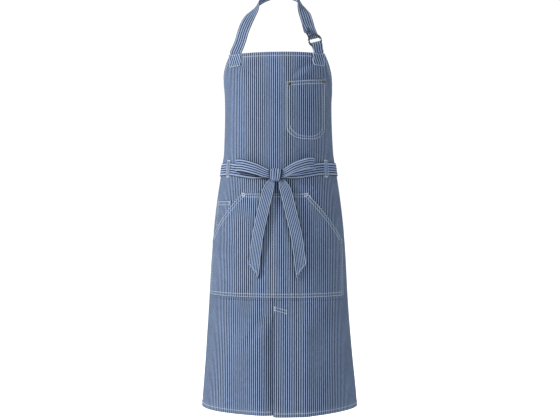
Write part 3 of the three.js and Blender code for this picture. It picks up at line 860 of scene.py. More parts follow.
class APRON_OT_skirt(bpy.types.Operator):
    """Make the two skirt halves, the vent's underlap and their hems"""

    bl_idname = "apron.skirt"
    bl_label = "Skirt and Vent"

    def execute(self, context):
        for side, word in SIDES:
            bodies, bend = ("apron", f"skirt_{word}"), skirt_bend(side)

            def place(u, v):
                reach = u if side > 0 else 1 - u
                z = lerp(-APRON_LENGTH - self.hem_drop(side * reach * HEM_HALF), -SKIRT_SPLIT, v)
                edge = edge_at(z)
                gap = 0.0 if side > 0 else VENT_GAP * smooth(VENT_DROP - 0.002, VENT_DROP + 0.012, -z)
                reach = max(reach * edge, gap)
                s = side * reach
                rim = min(edge - reach, z + APRON_LENGTH + self.hem_drop(s))
                lift = PANEL_MIDDLE + hem_roll(rim) + self.vent_lift(s, z)
                return form_place(s, z, lift, min(rim, abs(rim - HEM_WIDTH)))

            half = cloth_piece(context, f"skirt_cloth_{word}", (HEM_HALF, SKIRT_LENGTH), place)
            attach(half, bodies, (f"skirt_{word}",), bend)

            def side_hem(u, v):
                z = lerp(-APRON_LENGTH + 0.001, -SKIRT_SPLIT, v)
                inset = lerp(FOLD_STEP, HEM_WIDTH, 1 - u if side > 0 else u)
                return form_place(side * (edge_at(z) - inset), z, HEM_MIDDLE, UNWORN)

            hem = cloth_piece(context, f"skirt_side_hem_cloth_{word}", (HEM_WIDTH, SKIRT_LENGTH), side_hem)
            attach(hem, bodies, (f"skirt_side_hem_{word}",), bend)
            near = UNDERLAP if side > 0 else 0.001

            def bottom_hem(u, v):
                z = lerp(-APRON_LENGTH + FOLD_STEP, -APRON_LENGTH + HEM_WIDTH, v)
                far = edge_at(z) - HEM_WIDTH
                reach = lerp(near, far, u if side > 0 else 1 - u)
                z -= self.hem_drop(side * reach)
                return form_place(side * reach, z, HEM_MIDDLE + self.vent_lift(side * reach, z), UNWORN)

            hem = cloth_piece(context, f"bottom_hem_cloth_{word}", (HEM_HALF, HEM_WIDTH), bottom_hem)
            attach(hem, bodies, (f"bottom_hem_{word}",), bend)
            self.stitch(context, side, word, bodies, bend)
        bodies, bend = ("apron", "skirt_left"), skirt_bend(-1)

        def underlap(u, v):
            s = lerp(-VENT_OVERLAP, UNDERLAP, u)
            z = lerp(-APRON_LENGTH + 0.002, -VENT_DROP, v)
            slack = 0.0055 * smooth(-0.016, -0.004, s) * smooth(VENT_DROP, VENT_DROP + 0.04, -z)
            return form_place(s, z, HEM_MIDDLE - 0.0010 - slack + self.vent_lift(min(s, -0.002), z), 0.02)

        lap = cloth_piece(context, "vent_underlap_cloth", (LAP_WIDTH, VENT_LENGTH), underlap)
        attach(lap, bodies, ("vent_underlap",), bend)
        return {"FINISHED"}

    def hem_drop(self, s):
        """The hem dips towards the centre, and a little more on the right of the vent."""
        return (0.0045 if s > 0 else 0.0030) * math.exp(-((s / 0.16) ** 2))

    def vent_lift(self, s, z):
        """Near the vent the left half falls back and the right half stands forward, most at the hem."""
        depth = -z - VENT_DROP
        drop = smooth(-0.004, 0.05, depth)
        if s < 0:
            fold = math.exp(-(((-s - 0.012 - 0.75 * depth) / 0.016) ** 2))
            fold *= smooth(0.0, 0.02, depth) * smooth(0.14, 0.03, depth)
            return -0.0110 * drop * math.exp(-((s / 0.023) ** 2)) - 0.0035 * fold
        stand = 0.0024 * drop * math.exp(-((s / 0.03) ** 2))
        return stand + 0.0042 * drop * math.exp(-(((s - 0.085) / 0.018) ** 2))

    def stitch(self, context, side, word, bodies, bend):
        def lift(s, z):
            return PANEL_FACE + self.vent_lift(s, z)

        low = -APRON_LENGTH + HEM_ROW
        reaches = [0.004, 0.04, 0.08, 0.12, 0.16, 0.20, 0.26, HEM_HALF - HEM_ROW]
        hem = [(side * reach, low - self.hem_drop(side * reach)) for reach in reaches]
        edge = [(side * (edge_at(z) - HEM_ROW), z) for z in (-SKIRT_SPLIT, low)]
        runs = [row_on_form(hem, lift), row_on_form(edge, lift)]
        stitch_piece(context, f"skirt_stitches_{word}", runs, bodies, bend)


class APRON_OT_pockets(bpy.types.Operator):
    """Make the chest pocket, the kangaroo pouch and the coin pocket, with their rows of stitches"""

    bl_idname = "apron.pockets"
    bl_label = "Pockets"

    def execute(self, context):
        self.chest(context)
        self.coin(context)
        self.pouch(context)
        return {"FINISHED"}

    def chest_outline(self, row, inset=0.0):
        """Half width and height of the chest pocket's outline at row 0 (bottom) to 1 (top of the corner)."""
        turn = row * math.pi / 2
        half = (CHEST_RIGHT - CHEST_LEFT) / 2 - inset
        across = CHEST_ROUND - inset
        return half - across * (1 - math.sin(turn)), -CHEST_BOTTOM + inset + CHEST_CORNER * (
            1 - math.cos(turn)
        )

    def chest_top(self, s, inset=0.0):
        return -CHEST_TOP - inset + CHEST_RISE * (s - CHEST_LEFT) / (CHEST_RIGHT - CHEST_LEFT)

    def chest(self, context):
        middle = (CHEST_LEFT + CHEST_RIGHT) / 2
        corner_share = 0.22

        def lift(s, z):
            side_room = min(s - CHEST_LEFT, CHEST_RIGHT - s)
            mouth = self.chest_top(s) - z
            sewn = settle(0.0006, side_room) * smooth(0, 0.01, mouth)
            return OUTER_MIDDLE + sewn + 0.0014 * smooth(0.008, 0.045, side_room) * smooth(
                0.12, 0.0, mouth
            )

        def place(u, v):
            half, z = self.chest_outline(min(v / corner_share, 1))
            s = middle + (2 * u - 1) * half
            if v > corner_share:
                z = lerp(z, self.chest_top(s), (v - corner_share) / (1 - corner_share))
            edge = min(half - abs(s - middle), z + CHEST_BOTTOM)
            return form_place(s, z, lift(s, z), min(edge, self.chest_top(s) - z))

        pocket = cloth_piece(context, "chest_pocket_cloth", (0.118, 0.160), place)
        attach(pocket, "apron", ("chest_pocket",))
        runs = []
        for inset in (0.0025, 0.0095):
            left = [(middle - self.chest_outline(1, inset)[0], self.chest_top(CHEST_LEFT))]
            arc = []
            for i in range(9):
                half, z = self.chest_outline(1 - i / 8, inset)
                arc.append((middle - half, z))
            right = [(2 * middle - s, z) for s, z in reversed(arc)]
            end = [(middle + self.chest_outline(1, inset)[0], self.chest_top(CHEST_RIGHT))]
            runs.append(row_on_form(left + arc + right + end, lift))
        for inset in (0.0030, 0.0115):
            ends = [(s, self.chest_top(s, inset)) for s in (CHEST_LEFT + 0.003, CHEST_RIGHT - 0.003)]
            runs.append(row_on_form(ends, lift))
        stitch_piece(context, "chest_pocket_stitches", runs, "apron")

    def coin(self, context):
        def place(u, v):
            s, z = lerp(COIN_LEFT, COIN_RIGHT, u), lerp(-COIN_BOTTOM, -COIN_TOP, v)
            edge = min(s - COIN_LEFT, COIN_RIGHT - s)
            return form_place(
                s, z, OUTER_MIDDLE + settle(0.0004, edge), min(edge, -COIN_TOP - z)
            )

        pocket = cloth_piece(
            context, "coin_pocket_cloth", (COIN_RIGHT - COIN_LEFT, COIN_BOTTOM - COIN_TOP), place
        )
        attach(pocket, "apron", ("coin_pocket",))
        runs = []
        for inset in (0.0028, 0.0110):
            ends = [(s, -COIN_TOP - inset) for s in (COIN_LEFT + 0.003, COIN_RIGHT - 0.003)]
            runs.append(row_on_form(ends, OUTER_MIDDLE))
        for s in (COIN_LEFT + 0.003, COIN_LEFT + 0.010, COIN_RIGHT - 0.003):
            runs.append(row_on_form([(s, -COIN_TOP - 0.003), (s, -COIN_BOTTOM + 0.02)], OUTER_MIDDLE))
        for s in (COIN_LEFT + 0.004, COIN_RIGHT - 0.004):
            runs += bar_tack(s, -COIN_TOP - 0.002, 0, -0.010, OUTER_MIDDLE)
        stitch_piece(context, "coin_pocket_stitches", runs, "apron")

    def pouch_half(self, z):
        if z < -MOUTH_END:
            return POUCH_HALF
        return lerp(POUCH_HALF, POUCH_TOP_HALF, (z + MOUTH_END) / (MOUTH_END - POUCH_TOP))

    def pouch_lift(self, s, z):
        """The pouch stands out over the coin pocket and gapes a little along its mouths."""
        over = smooth(-0.24, -0.20, s) * (1 - smooth(-0.113, -0.075, s)) * smooth(-0.54, -0.50, z)
        gape = 0.0022 * smooth(-0.520, -0.470, z) * smooth(-0.380, -0.420, z) * smooth(
            0.05, 0.0, self.pouch_half(z) - abs(s)
        )
        return OUTER_MIDDLE + 0.0018 * over + gape

    def pouch(self, context):
        def place(u, v):
            z = lerp(-POUCH_BOTTOM, -POUCH_TOP, v)
            half = self.pouch_half(z)
            s = (2 * u - 1) * half
            mouth = (half - abs(s)) * (0.72 if z > -MOUTH_END else 1)
            edge = min(mouth, z + POUCH_BOTTOM, -POUCH_TOP - z)
            sewn = min(z + POUCH_BOTTOM, -POUCH_TOP - z, half - abs(s) if z < -MOUTH_END else 1)
            divide = -0.0005 * wear_from(abs(s), 0.003)
            return form_place(
                s, z, self.pouch_lift(s, z) + settle(0.0006, sewn) + divide, min(edge, abs(s))
            )

        pouch = cloth_piece(context, "pouch_cloth", (2 * POUCH_HALF, POUCH_BOTTOM - POUCH_TOP), place)
        attach(pouch, "apron", ("kangaroo_pocket",))
        lift = self.pouch_lift
        runs = []
        for inset in (0.0028, 0.0105):
            top, low = -POUCH_TOP - inset, -POUCH_BOTTOM + inset
            runs.append(row_on_form([(-POUCH_TOP_HALF, top), (POUCH_TOP_HALF, top)], lift))
            runs.append(row_on_form([(-POUCH_HALF + 0.003, low), (POUCH_HALF - 0.003, low)], lift))
            for side, _ in SIDES:
                slanted = [
                    (side * (self.pouch_half(z) - inset * 1.35), z)
                    for z in (-POUCH_TOP - 0.002, -MOUTH_END + 0.002)
                ]
                runs.append(row_on_form(slanted, lift))
                upright = side * (POUCH_HALF - inset)
                runs.append(row_on_form([(upright, -MOUTH_END), (upright, -POUCH_BOTTOM + 0.003)], lift))
        runs.append(row_on_form([(-0.001, -POUCH_TOP - 0.003), (-0.001, -POUCH_BOTTOM + 0.003)], lift))
        for side, _ in SIDES:
            corner = side * (POUCH_TOP_HALF + 0.001)
            for s, z, ds, dz in (
                (corner, -POUCH_TOP - 0.0005, -side * 0.009, -0.001),
                (corner - side * 0.001, -POUCH_TOP - 0.006, -side * 0.009, -0.002),
                (corner + side * 0.004, -POUCH_TOP - 0.007, side * 0.004, -0.008),
                (side * (POUCH_HALF - 0.004), -MOUTH_END + 0.006, 0, -0.011),
            ):
                runs += bar_tack(s, z, ds, dz, OUTER_MIDDLE)
        stitch_piece(context, "pouch_stitches", runs, "apron")
        tack = []
        for z in (-0.684, -0.692):
            tack.append(row_on_form([(0.001, z), (0.036, z - 0.009)], PANEL_FACE))
        tack += bar_tack(0.003, -0.682, 0, -0.012, PANEL_FACE)
        tack += bar_tack(0.034, -0.691, 0, -0.012, PANEL_FACE)
        stitch_piece(context, "vent_tack_stitches", tack, "apron")


class APRON_OT_rivets(bpy.types.Operator):
    """Give the chest pocket's rivets and burrs their aged brass"""

    bl_idname = "apron.rivets"
    bl_label = "Pocket Rivets"

    def execute(self, context):
        brass = bpy.data.materials["Aged Brass"]
        for node in ("pocket_rivet_left", "pocket_rivet_right", "rivet_burr_left", "rivet_burr_right"):
            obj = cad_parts[node]
            obj.data.materials.clear()
            obj.data.materials.append(brass)
        return {"FINISHED"}


# ---- Tapes ---------------------------------------------------------------------------------------
def tape_frames(points, sides, half_widths, count):
    """Middle, side and outward directions at equal steps along a smooth route."""
    frames = []
    for i in range(count + 1):
        t = i / count
        point = catmull(points, t)
        ahead = catmull(points, min(t + 0.3 / count, 1)) - catmull(points, max(t - 0.3 / count, 0))
        tangent = ahead.normalized()
        hint = catmull(sides, t)
        side = (hint - tangent * hint.dot(tangent)).normalized() * along(half_widths, t)
        frames.append((point, side, tangent.cross(side).normalized()))
    return frames


def tape_grid(frames, across, crown, pleat=lambda t, w: 0.0):
    """A grid along tape frames. crown bows its section, pleat(t, w) gathers it."""
    count = len(frames) - 1
    run = [0.0]
    for (a, _, _), (b, _, _) in zip(frames, frames[1:]):
        run.append(run[-1] + (b - a).length)
    widest = max(side.length for _, side, _ in frames)

    def place(u, v):
        point, side, normal = frames[round(u * count)]
        w = 2 * v - 1
        lift = crown * (1 - w * w) + pleat(u, w)
        return point + side * w + normal * lift, (w * widest, run[round(u * count)]), wear_from(
            (1 - abs(w)) * widest, 0.003
        )

    return grid_mesh(count, across, place)


def tape_piece(context, name, bm, thickness=None):
    tape = new_object(name, bm, bpy.data.materials["Striped Tape"])
    thicken(tape, thickness or context.scene.apron_sizes.tape)
    return tape


def edge_rows(frames, inset, rise, first=0, last=None):
    """Chains of points along both edges of a tape, on its outer face."""
    rows = []
    for sign in (-1, 1):
        rows.append([p + s * sign * (1 - inset / s.length) + n * rise for p, s, n in frames[first:last]])
    return rows


RING_UP = Vector((-0.35, 0.2, 0.915)).normalized()
RING_OUT = Vector((0.36, -0.93, 0))
RING_OUT = (RING_OUT - RING_UP * RING_OUT.dot(RING_UP)).normalized()
RING_WIDE = RING_UP.cross(RING_OUT)
TAPE_STEP = 0.0025
STRAP_SHIFT = 0.0065  # the drawn-in corner carries the strap's foot and patch with it
RING_STEP = 0.005
RING_HEIGHT = 0.036
RING_RADIUS = 0.0175
FOLD_HALF = 0.0135
FOOT_LIFT = 0.0013
PATCH_MIDDLE = BIB_HALF - PATCH_WIDTH / 2 - 0.001


def bare_form(s, z, lift):
    return lift_off(angle_at(s, z), z, lift)


TAPE_FOOT = bare_form(PATCH_MIDDLE, 0, TIE_MIDDLE)
RING_MIDDLE = TAPE_FOOT + RING_UP * RING_HEIGHT + RING_OUT * TAPE_STEP
EDGE_ALONG = (bare_form(PATCH_MIDDLE + 0.001, 0, 0) - bare_form(PATCH_MIDDLE - 0.001, 0, 0)).normalized()

NECK_ROUTE = (
    (-0.092, -0.068, 0.062),
    (-0.0845, -0.052, 0.090),
    (-0.0765, -0.027, 0.116),
    (-0.0695, -0.004, 0.136),
    (-0.0605, 0.022, 0.163),
    (-0.0465, 0.051, 0.188),
    (-0.025, 0.070, 0.202),
    (-0.012, 0.075, 0.206),
)
NECK_SIDES = (
    (-0.97, 0.22, 0),
    (-0.96, 0.26, 0),
    (-0.96, 0.26, 0.06),
    (-0.97, 0.2, 0.1),
    (-0.93, 0.34, 0.06),
    (-0.78, 0.62, -0.03),
    (-0.34, 0.84, -0.42),
    (0.12, 0.60, -0.78),
    (0.20, 0.12, -0.96),
    (0, 0, -1),
)
STRAP_OVER_RINGS = ((0.93, 0.36, 0.1), (0.9, 0.42, 0.16))


def mirror_x(v):
    return Vector((-v.x, v.y, v.z))


def ring_place(up, out):
    return RING_MIDDLE + RING_UP * up + RING_OUT * out


class APRON_OT_neck(bpy.types.Operator):
    """Make the neck strap, the ring tab, their sewn patches and the two rings"""

    bl_idname = "apron.neck"
    bl_label = "Neck Strap and Rings"

    def execute(self, context):
        self.strap(context)
        self.tab(context)
        for side, _ in SIDES:
            self.patch(context, side)
        self.rings(context)
        return {"FINISHED"}

    def strap(self, context):
        route = [Vector(p) + TO_FRAME for p in NECK_ROUTE]
        hints = [Vector(v) for v in NECK_SIDES]
        up_left = mirror_x(RING_UP)
        foot = bare_form(-PATCH_MIDDLE + STRAP_SHIFT + 0.002, 0, TIE_MIDDLE)
        start = [foot + up_left * (FOOT_LIFT - 0.001), foot + up_left * RING_HEIGHT]
        into = [ring_place(up, -TAPE_STEP) for up in (0.030, 0.020, 0.0095)]
        points = start + route + [mirror_x(p) for p in reversed(route)] + into
        sides = hints + [mirror_x(v) for v in reversed(hints[2:])] + [RING_WIDE] * 3
        sides[16:18] = [Vector(v) for v in STRAP_OVER_RINGS]
        half = STRAP_WIDTH / 2
        widths = [half] * 18 + [lerp(half, FOLD_HALF, 0.5), FOLD_HALF, FOLD_HALF]
        frames = tape_frames(points, sides, widths, 210)
        point, _, normal = frames[0]
        frames[0] = (point, mirror_x(EDGE_ALONG) * half, normal)
        fold = RING_WIDE * FOLD_HALF
        for i in range(1, 13):
            turn = i * math.pi / 12
            outward = RING_OUT * -math.cos(turn) - RING_UP * math.sin(turn)
            frames.append((ring_place(0.0095, 0) + outward * TAPE_STEP, fold, outward))
        tail = [
            (0.0095, 0.0025),
            (0.016, 0.0026),
            (0.024, 0.0024),
            (0.034, 0.0009),
            (0.044, -0.0004),
            (0.0545, -0.0008),
        ]
        tail = [ring_place(up, out) for up, out in tail]
        frames += tape_frames(tail, [RING_WIDE] * 6, [FOLD_HALF, FOLD_HALF, 0.0155], 22)[1:]
        strap = tape_piece(context, "neck_strap_tape", tape_grid(frames, 8, 0.0))
        bend = corner_bend()
        attach(strap, ("neck_loop", "apron"), ("neck_strap",), bend)
        rows = edge_rows(frames, 0.0025, 0.0008, 1, 205)
        rows += edge_rows(frames, 0.0025, 0.0008, -20, -1)
        stitch_piece(context, "neck_strap_stitches", rows, ("neck_loop", "apron"), bend)

    def tab(self, context):
        back, front = -TAPE_STEP, RING_STEP + 0.0064
        middle, half = (back + front) / 2, (front - back) / 2
        foot = -RING_HEIGHT + FOOT_LIFT - 0.001
        points = [ring_place(up, back) for up in (foot, -0.026, -0.020, -0.015)]
        for i in range(13):
            turn = i * math.pi / 12
            points.append(ring_place(-0.011 + 0.0045 * math.sin(turn), middle - half * math.cos(turn)))
        for up, out in (
            (-0.015, front - 0.0004),
            (-0.0195, front - 0.0020),
            (-0.0245, 0.0040),
            (-0.030, 0.0004),
            (foot, -0.0005),
        ):
            points.append(ring_place(up, out))
        frames = tape_frames(points, [RING_WIDE] * len(points), [FOLD_HALF, FOLD_HALF], 70)
        for i in (0, -1):
            point, _, normal = frames[i]
            frames[i] = (point, EDGE_ALONG * FOLD_HALF, normal)
        tab = tape_piece(context, "ring_tab_tape", tape_grid(frames, 8, 0.0))
        bend = corner_bend()
        attach(tab, ("neck_loop", "apron"), ("ring_tab",), bend)
        rows = edge_rows(frames, 0.0022, -0.0008, 44, 70)
        stitch_piece(context, "ring_tab_stitches", rows, ("neck_loop", "apron"), bend)

    def patch(self, context, side):
        name, node = ("tab_patch_tape", "tab_end_patch") if side > 0 else (
            "strap_patch_tape", "strap_end_patch"
        )
        patch_middle = PATCH_MIDDLE if side > 0 else PATCH_MIDDLE - STRAP_SHIFT
        half_width = PATCH_WIDTH / 2 + (0.0 if side > 0 else 0.0015)
        lift = OUTER_MIDDLE + (0.0012 if side > 0 else 0.0003)

        def outline(row, inset=0.0):
            corner = PATCH_CORNER - inset
            turn = min(row, 1) * math.pi / 2
            inner = patch_middle - half_width + inset + corner * (1 - math.sin(turn))
            z = -PATCH_HEIGHT + inset + corner * (1 - math.cos(turn))
            return inner, patch_middle + half_width - inset, z

        def place(u, v):
            inner, outer, z = outline(v / 0.35)
            z = z if v <= 0.35 else lerp(z, 0, (v - 0.35) / 0.65)
            reach = lerp(inner, outer, u if side > 0 else 1 - u)
            edge = min(reach - inner, outer - reach, z + PATCH_HEIGHT)
            return form_place(
                side * reach, z, lift + settle(0.0007, edge), edge, (side * reach * 0.94 + z * 0.34, z)
            )

        patch = cloth_piece(context, name, (0.058, 0.054), place, "Striped Tape", 0.0014)
        attach(patch, "apron", (node,))
        runs = []
        for inset in (0.0026,):
            corner = [outline(i / 4, inset) for i in range(4, -1, -1)]
            inner_run = [(side * inner, z) for inner, _, z in corner]
            outer = corner[-1][1]
            loop = [(inner_run[0][0], -0.003)] + inner_run + [
                (side * outer, corner[-1][2]), (side * outer, -0.003), (inner_run[0][0], -0.003)
            ]
            runs.append(row_on_form(loop, lift + 0.0003))
        stitch_piece(context, name.replace("tape", "stitches"), runs, "apron")

    def rings(self, context):
        wire = context.scene.apron_sizes.wire
        for node, out, body in (("back_ring", 0.0, "neck_loop"), ("front_ring", RING_STEP, "front_ring")):
            bm = bmesh.new()
            turn = Matrix.Translation(ring_place(0, out)) @ Matrix(
                [(*row, 0) for row in Matrix((RING_WIDE, RING_UP, RING_OUT)).transposed()] + [(0, 0, 0, 1)]
            )
            shift = Matrix.Translation((RING_RADIUS, 0, 0)) @ Matrix.Rotation(math.pi / 2, 4, "X")
            circle = bmesh.ops.create_circle(bm, segments=16, radius=wire, matrix=shift)
            bmesh.ops.spin(
                bm,
                geom=circle["verts"] + bm.edges[:],
                cent=(0, 0, 0),
                axis=(0, 0, 1),
                angle=2 * math.pi,
                steps=72,
                use_merge=True,
            )
            bmesh.ops.remove_doubles(bm, verts=bm.verts, dist=1e-6)
            bmesh.ops.recalc_face_normals(bm, faces=bm.faces)
            bmesh.ops.transform(bm, matrix=turn, verts=bm.verts)
            for face in bm.faces:
                face.smooth = True
            ring = new_object(node + "_metal", bm, bpy.data.materials["Antique Plating"])
            attach(ring, body, (node,))


class APRON_OT_ties(bpy.types.Operator):
    """Make the waist ties and the belt loops they run through"""

    bl_idname = "apron.ties"
    bl_label = "Waist Ties"

    def tie_drop(self, angle):
        near = 1 - smooth(0.1, angle_at(LOOP_PLACES["right"], -WAIST_DROP), abs(angle))
        return lerp(WAIST_DROP, KNOT_DROP - 0.003, near)

    def execute(self, context):
        edge = angle_at(WAIST_HALF, -WAIST_DROP)
        sewn = angle_at(WAIST_HALF - 0.035, -WAIST_DROP)
        open_back = math.pi - edge
        past = 2 * math.pi - sewn
        for side, word in SIDES:
            knot = 2 * math.pi - angle_at(0.001 - side * KNOT_X, -WAIST_DROP)

            def spot(turn, w):
                parted = 1 - smooth(open_back * 0.3, open_back, abs(turn - math.pi))
                crossed = smooth(-open_back * 0.28, open_back * 0.28, turn - math.pi)
                settled = smooth(past + 0.08, past + 0.4, turn)
                lift = lerp(TIE_MIDDLE, OVER_TIE_MIDDLE, crossed * (1 - settled))
                drop = self.tie_drop(2 * math.pi - turn) if turn > math.pi else WAIST_DROP
                pinch = 1 - 0.28 * smooth(2 * math.pi - 0.45, 2 * math.pi - 0.12, turn)
                z = -drop + side * parted * 0.019 + w * TIE_WIDTH / 2 * pinch
                wrinkle = 0.0007 * noise.noise(Vector((turn * 9, w * 1.5, side))) * smooth(
                    sewn + 0.2, sewn + 0.5, turn
                )
                front = sway(side * (turn - 2 * math.pi) * 0.14, z) if turn > past else 0.0
                return lift_off(side * turn, z, lift + wrinkle + max(front, -0.0004) * 0.7)

            def place(u, v):
                turn = lerp(sewn, knot, u if side > 0 else 1 - u)
                w = 2 * v - 1
                return spot(turn, w), (w * TIE_WIDTH / 2, turn * 0.14), wear_from(
                    (1 - abs(w)) * TIE_WIDTH / 2, 0.003
                )

            tie = tape_piece(context, f"waist_tie_tape_{word}", grid_mesh(200, 8, place))
            attach(tie, "apron", (f"waist_tie_{word}",))
            middle = [spot(lerp(sewn, knot, i / 100), 0) for i in range(101)]
            rows = []
            for w in (-0.86, 0.86):
                turns = [lerp(sewn, knot, i / 200) for i in range(201)]
                rows.append([self.rise(spot(turn, w), turn * side, 0.0008) for turn in turns])
            stitch_piece(context, f"waist_tie_stitches_{word}", rows, "apron")
            self.belt_loop(context, word)
        return {"FINISHED"}

    def rise(self, point, angle, amount):
        half_width, half_depth, _ = form_at(-WAIST_DROP)
        outward = Vector((math.sin(angle) / half_width, -math.cos(angle) / half_depth, 0)).normalized()
        return point + outward * amount

    def belt_loop(self, context, word):
        middle = LOOP_PLACES[word]
        half, clear = LOOP_LENGTH / 2, TIE_WIDTH / 2 + 0.0011
        heights = [-half, -clear - 0.0024, -clear, -0.006, 0.006, clear, clear + 0.0024, half]
        lifts = [OUTER_MIDDLE, OUTER_MIDDLE, 0.0041, 0.0043, 0.0043, 0.0041, OUTER_MIDDLE, OUTER_MIDDLE]

        def place(u, v):
            s = middle + (u - 0.5) * LOOP_WIDTH
            z = -WAIST_DROP + along(heights, v)
            edge = (0.5 - abs(u - 0.5)) * LOOP_WIDTH
            return form_place(s, z, along(lifts, v) + settle(0.0003, edge, 0.003), edge * 0.7)

        loop = tape_piece(context, f"belt_loop_tape_{word}", grid_mesh(6, 28, place), 0.0010)
        attach(loop, "apron", (f"belt_loop_{word}",))
        runs = []
        for s in (middle - LOOP_WIDTH * 0.32, middle + LOOP_WIDTH * 0.32):
            points = [
                on_form(s, -WAIST_DROP + along(heights, i / 28), along(lifts, i / 28) + THREAD_RISE)
                for i in range(29)
            ]
            runs.append(points)
        for z in (-WAIST_DROP + half - 0.002, -WAIST_DROP - half + 0.002):
            runs += bar_tack(middle - LOOP_WIDTH * 0.42, z, LOOP_WIDTH * 0.84, 0, OUTER_MIDDLE, count=9)
        stitch_piece(context, f"belt_loop_stitches_{word}", runs, "apron")


class APRON_OT_bow(bpy.types.Operator):
    """Make the bow: its knot, two loops and two tails"""

    bl_idname = "apron.bow"
    bl_label = "Bow"

    def execute(self, context):
        self.knot(context)
        for side, word in SIDES:
            self.loop(context, side, word)
            self.tail(context, side, word)
        return {"FINISHED"}

    def knot(self, context):
        """The tape that wraps the knot: a pillow, wider above than below, pleated along its length."""
        centre = bare_form(KNOT_X, -KNOT_DROP, 0.0132)
        bm = bmesh.new()
        bmesh.ops.create_cube(bm, size=2)
        bmesh.ops.subdivide_edges(bm, edges=bm.edges, cuts=15, use_grid_fill=True)
        cloth = bm.loops.layers.uv.new("Cloth")
        worn = bm.verts.layers.float.new("worn")
        spots = {}
        for vert in bm.verts:
            x, y, z = vert.co
            spots[vert.index] = (x * 0.0175, math.atan2(z, -y) * 0.014)
            round_off = (abs(x) ** 4 + abs(y) ** 4 + abs(z) ** 4) ** 0.25
            x, y, z = x / round_off, y / round_off, z / round_off
            taper = lerp(0.86, 1.16, (z + 1) / 2) * (1 + 0.07 * noise.noise(Vector((z * 2, y, 1))))
            pleat = 0.0010 * math.sin(x * 7.5 + 1.2 * z) * (1 - abs(x) ** 3) + 0.0008 * noise.noise(
                Vector((x * 3, z * 2, 4))
            )
            depth = KNOT_DEPTH / 2 * y * (1.08 - 0.12 * z * z) + (pleat if y < 0 else 0)
            lean = 0.0012 * z
            vert.co = centre + Vector((x * KNOT_WIDTH / 2 * taper + lean, depth, z * KNOT_HEIGHT / 2))
            vert[worn] = wear_from((1 - abs(x)) * 0.0175, 0.003)
        for face in bm.faces:
            face.smooth = True
            for corner in face.loops:
                corner[cloth].uv = spots[corner.vert.index]
        knot = new_object("bow_knot_tape", bm, bpy.data.materials["Striped Tape"])
        attach(knot, "apron", ("bow_knot",))

    def loop(self, context, side, word):
        reach = BOW_REACH - side * KNOT_X - 0.009
        root = KNOT_WIDTH / 2 - 0.004
        front_rise, back_rise = (0.90, 0.78) if side < 0 else (1.08, 0.80)
        end_rise = (front_rise + back_rise) / 2
        slim = 1.0 if side < 0 else 0.80
        stations = (
            (root, 0.0, 0.0125),
            (root + 0.012, 0.14 * front_rise, 0.0160),
            (reach * 0.50, 0.60 * front_rise, 0.0205),
            (reach * 0.78, 0.93 * front_rise, 0.0215),
            (reach * 0.95, front_rise, 0.0185),
            (reach, end_rise, 0.0130),
            (reach * 0.95, back_rise, 0.0085),
            (reach * 0.78, 0.84 * back_rise, 0.0068),
            (reach * 0.50, 0.50 * back_rise, 0.0060),
            (root + 0.012, 0.12, 0.0056),
            (root, 0.0, 0.0060),
        )
        points = [
            bare_form(KNOT_X + side * out, -KNOT_DROP + 0.002 + rise * BOW_RISE, lift)
            for out, rise, lift in stations
        ]
        sides = [Vector((side * lean, 0, side)) for lean in (0, 0.05, 0.12, 0.12, 0.05, 0, 0, 0, 0, 0, 0)]
        widths = [0.0115, 0.0135, 0.0162, 0.0174, 0.0174, 0.0170, 0.0166, 0.0160, 0.0150, 0.0130, 0.0115]
        widths = [width * slim for width in widths]
        frames = tape_frames(points, sides, widths, 90)

        def pleat(t, w):
            near = math.exp(-min(t, 1 - t) / 0.09)
            curl = 0.0012 * math.sin(9 * t + side) * w
            return near * 0.0017 * math.cos(w * 6.5 + side) * (1 - 0.4 * abs(w)) + curl * (1 - near)

        bow = tape_piece(context, f"bow_loop_tape_{word}", tape_grid(frames, 12, 0.0006, pleat))
        attach(bow, f"bow_loop_{word}", (f"bow_loop_{word}",))
        stitch_piece(
            context,
            f"bow_loop_stitches_{word}",
            edge_rows(frames, 0.0028, 0.0012, 6, 84),
            f"bow_loop_{word}",
        )

    def tail(self, context, side, word):
        root, spread = (0.018, 1.15) if side > 0 else (-0.005, -1.0)
        top = -(KNOT_DROP + KNOT_HEIGHT / 2 - 0.003)
        stations = (
            (root, top, 0.0115),
            (root + spread * 0.006, top - 0.015, 0.0130),
            (root + spread * 0.012, top - 0.035, 0.0135),
            (root + spread * 0.022, top - 0.083, 0.0135),
            (root + spread * 0.036, top - 0.153, 0.0110),
            (root + spread * 0.047, -TAIL_DROP, 0.0075),
        )
        points = [bare_form(s, z, lift + max(sway(s, z), 0) * 0.75) for s, z, lift in stations]
        sides = [bare_form(s - 0.001, z, 0) - bare_form(s + 0.001, z, 0) for s, z, _ in stations]
        widths = [0.0080, 0.0140, TAIL_HALF, TAIL_HALF, TAIL_HALF, TAIL_HALF]
        count = 80
        frames = tape_frames(points, [v.normalized() for v in sides], widths, count)
        slanted = []
        for i, (point, edge, normal) in enumerate(frames):
            down = (frames[min(i + 1, count)][0] - frames[max(i - 1, 0)][0]).normalized()
            slant = smooth(0.84, 1.0, i / count) * TAIL_SLANT * side
            slanted.append((point, edge + down * slant, normal))

        def pleat(t, w):
            near = math.exp(-t / 0.10)
            drift = 0.0010 * math.sin(7 * t + 1.5 * w + side) * smooth(0.1, 0.4, t)
            return near * 0.0016 * math.cos(w * 6 + side) + drift

        tail = tape_piece(context, f"bow_tail_tape_{word}", tape_grid(slanted, 10, 0.0, pleat))
        attach(tail, f"bow_tail_{word}", (f"bow_tail_{word}",))
        rows = edge_rows(slanted, 0.0022, -0.0011, 6, count - 1)
        point, edge, normal = slanted[count - 2]
        rows.append([point + edge * (w / 10) * 0.9 - normal * 0.0011 for w in range(-10, 11)])
        stitch_piece(context, f"bow_tail_stitches_{word}", rows, f"bow_tail_{word}")


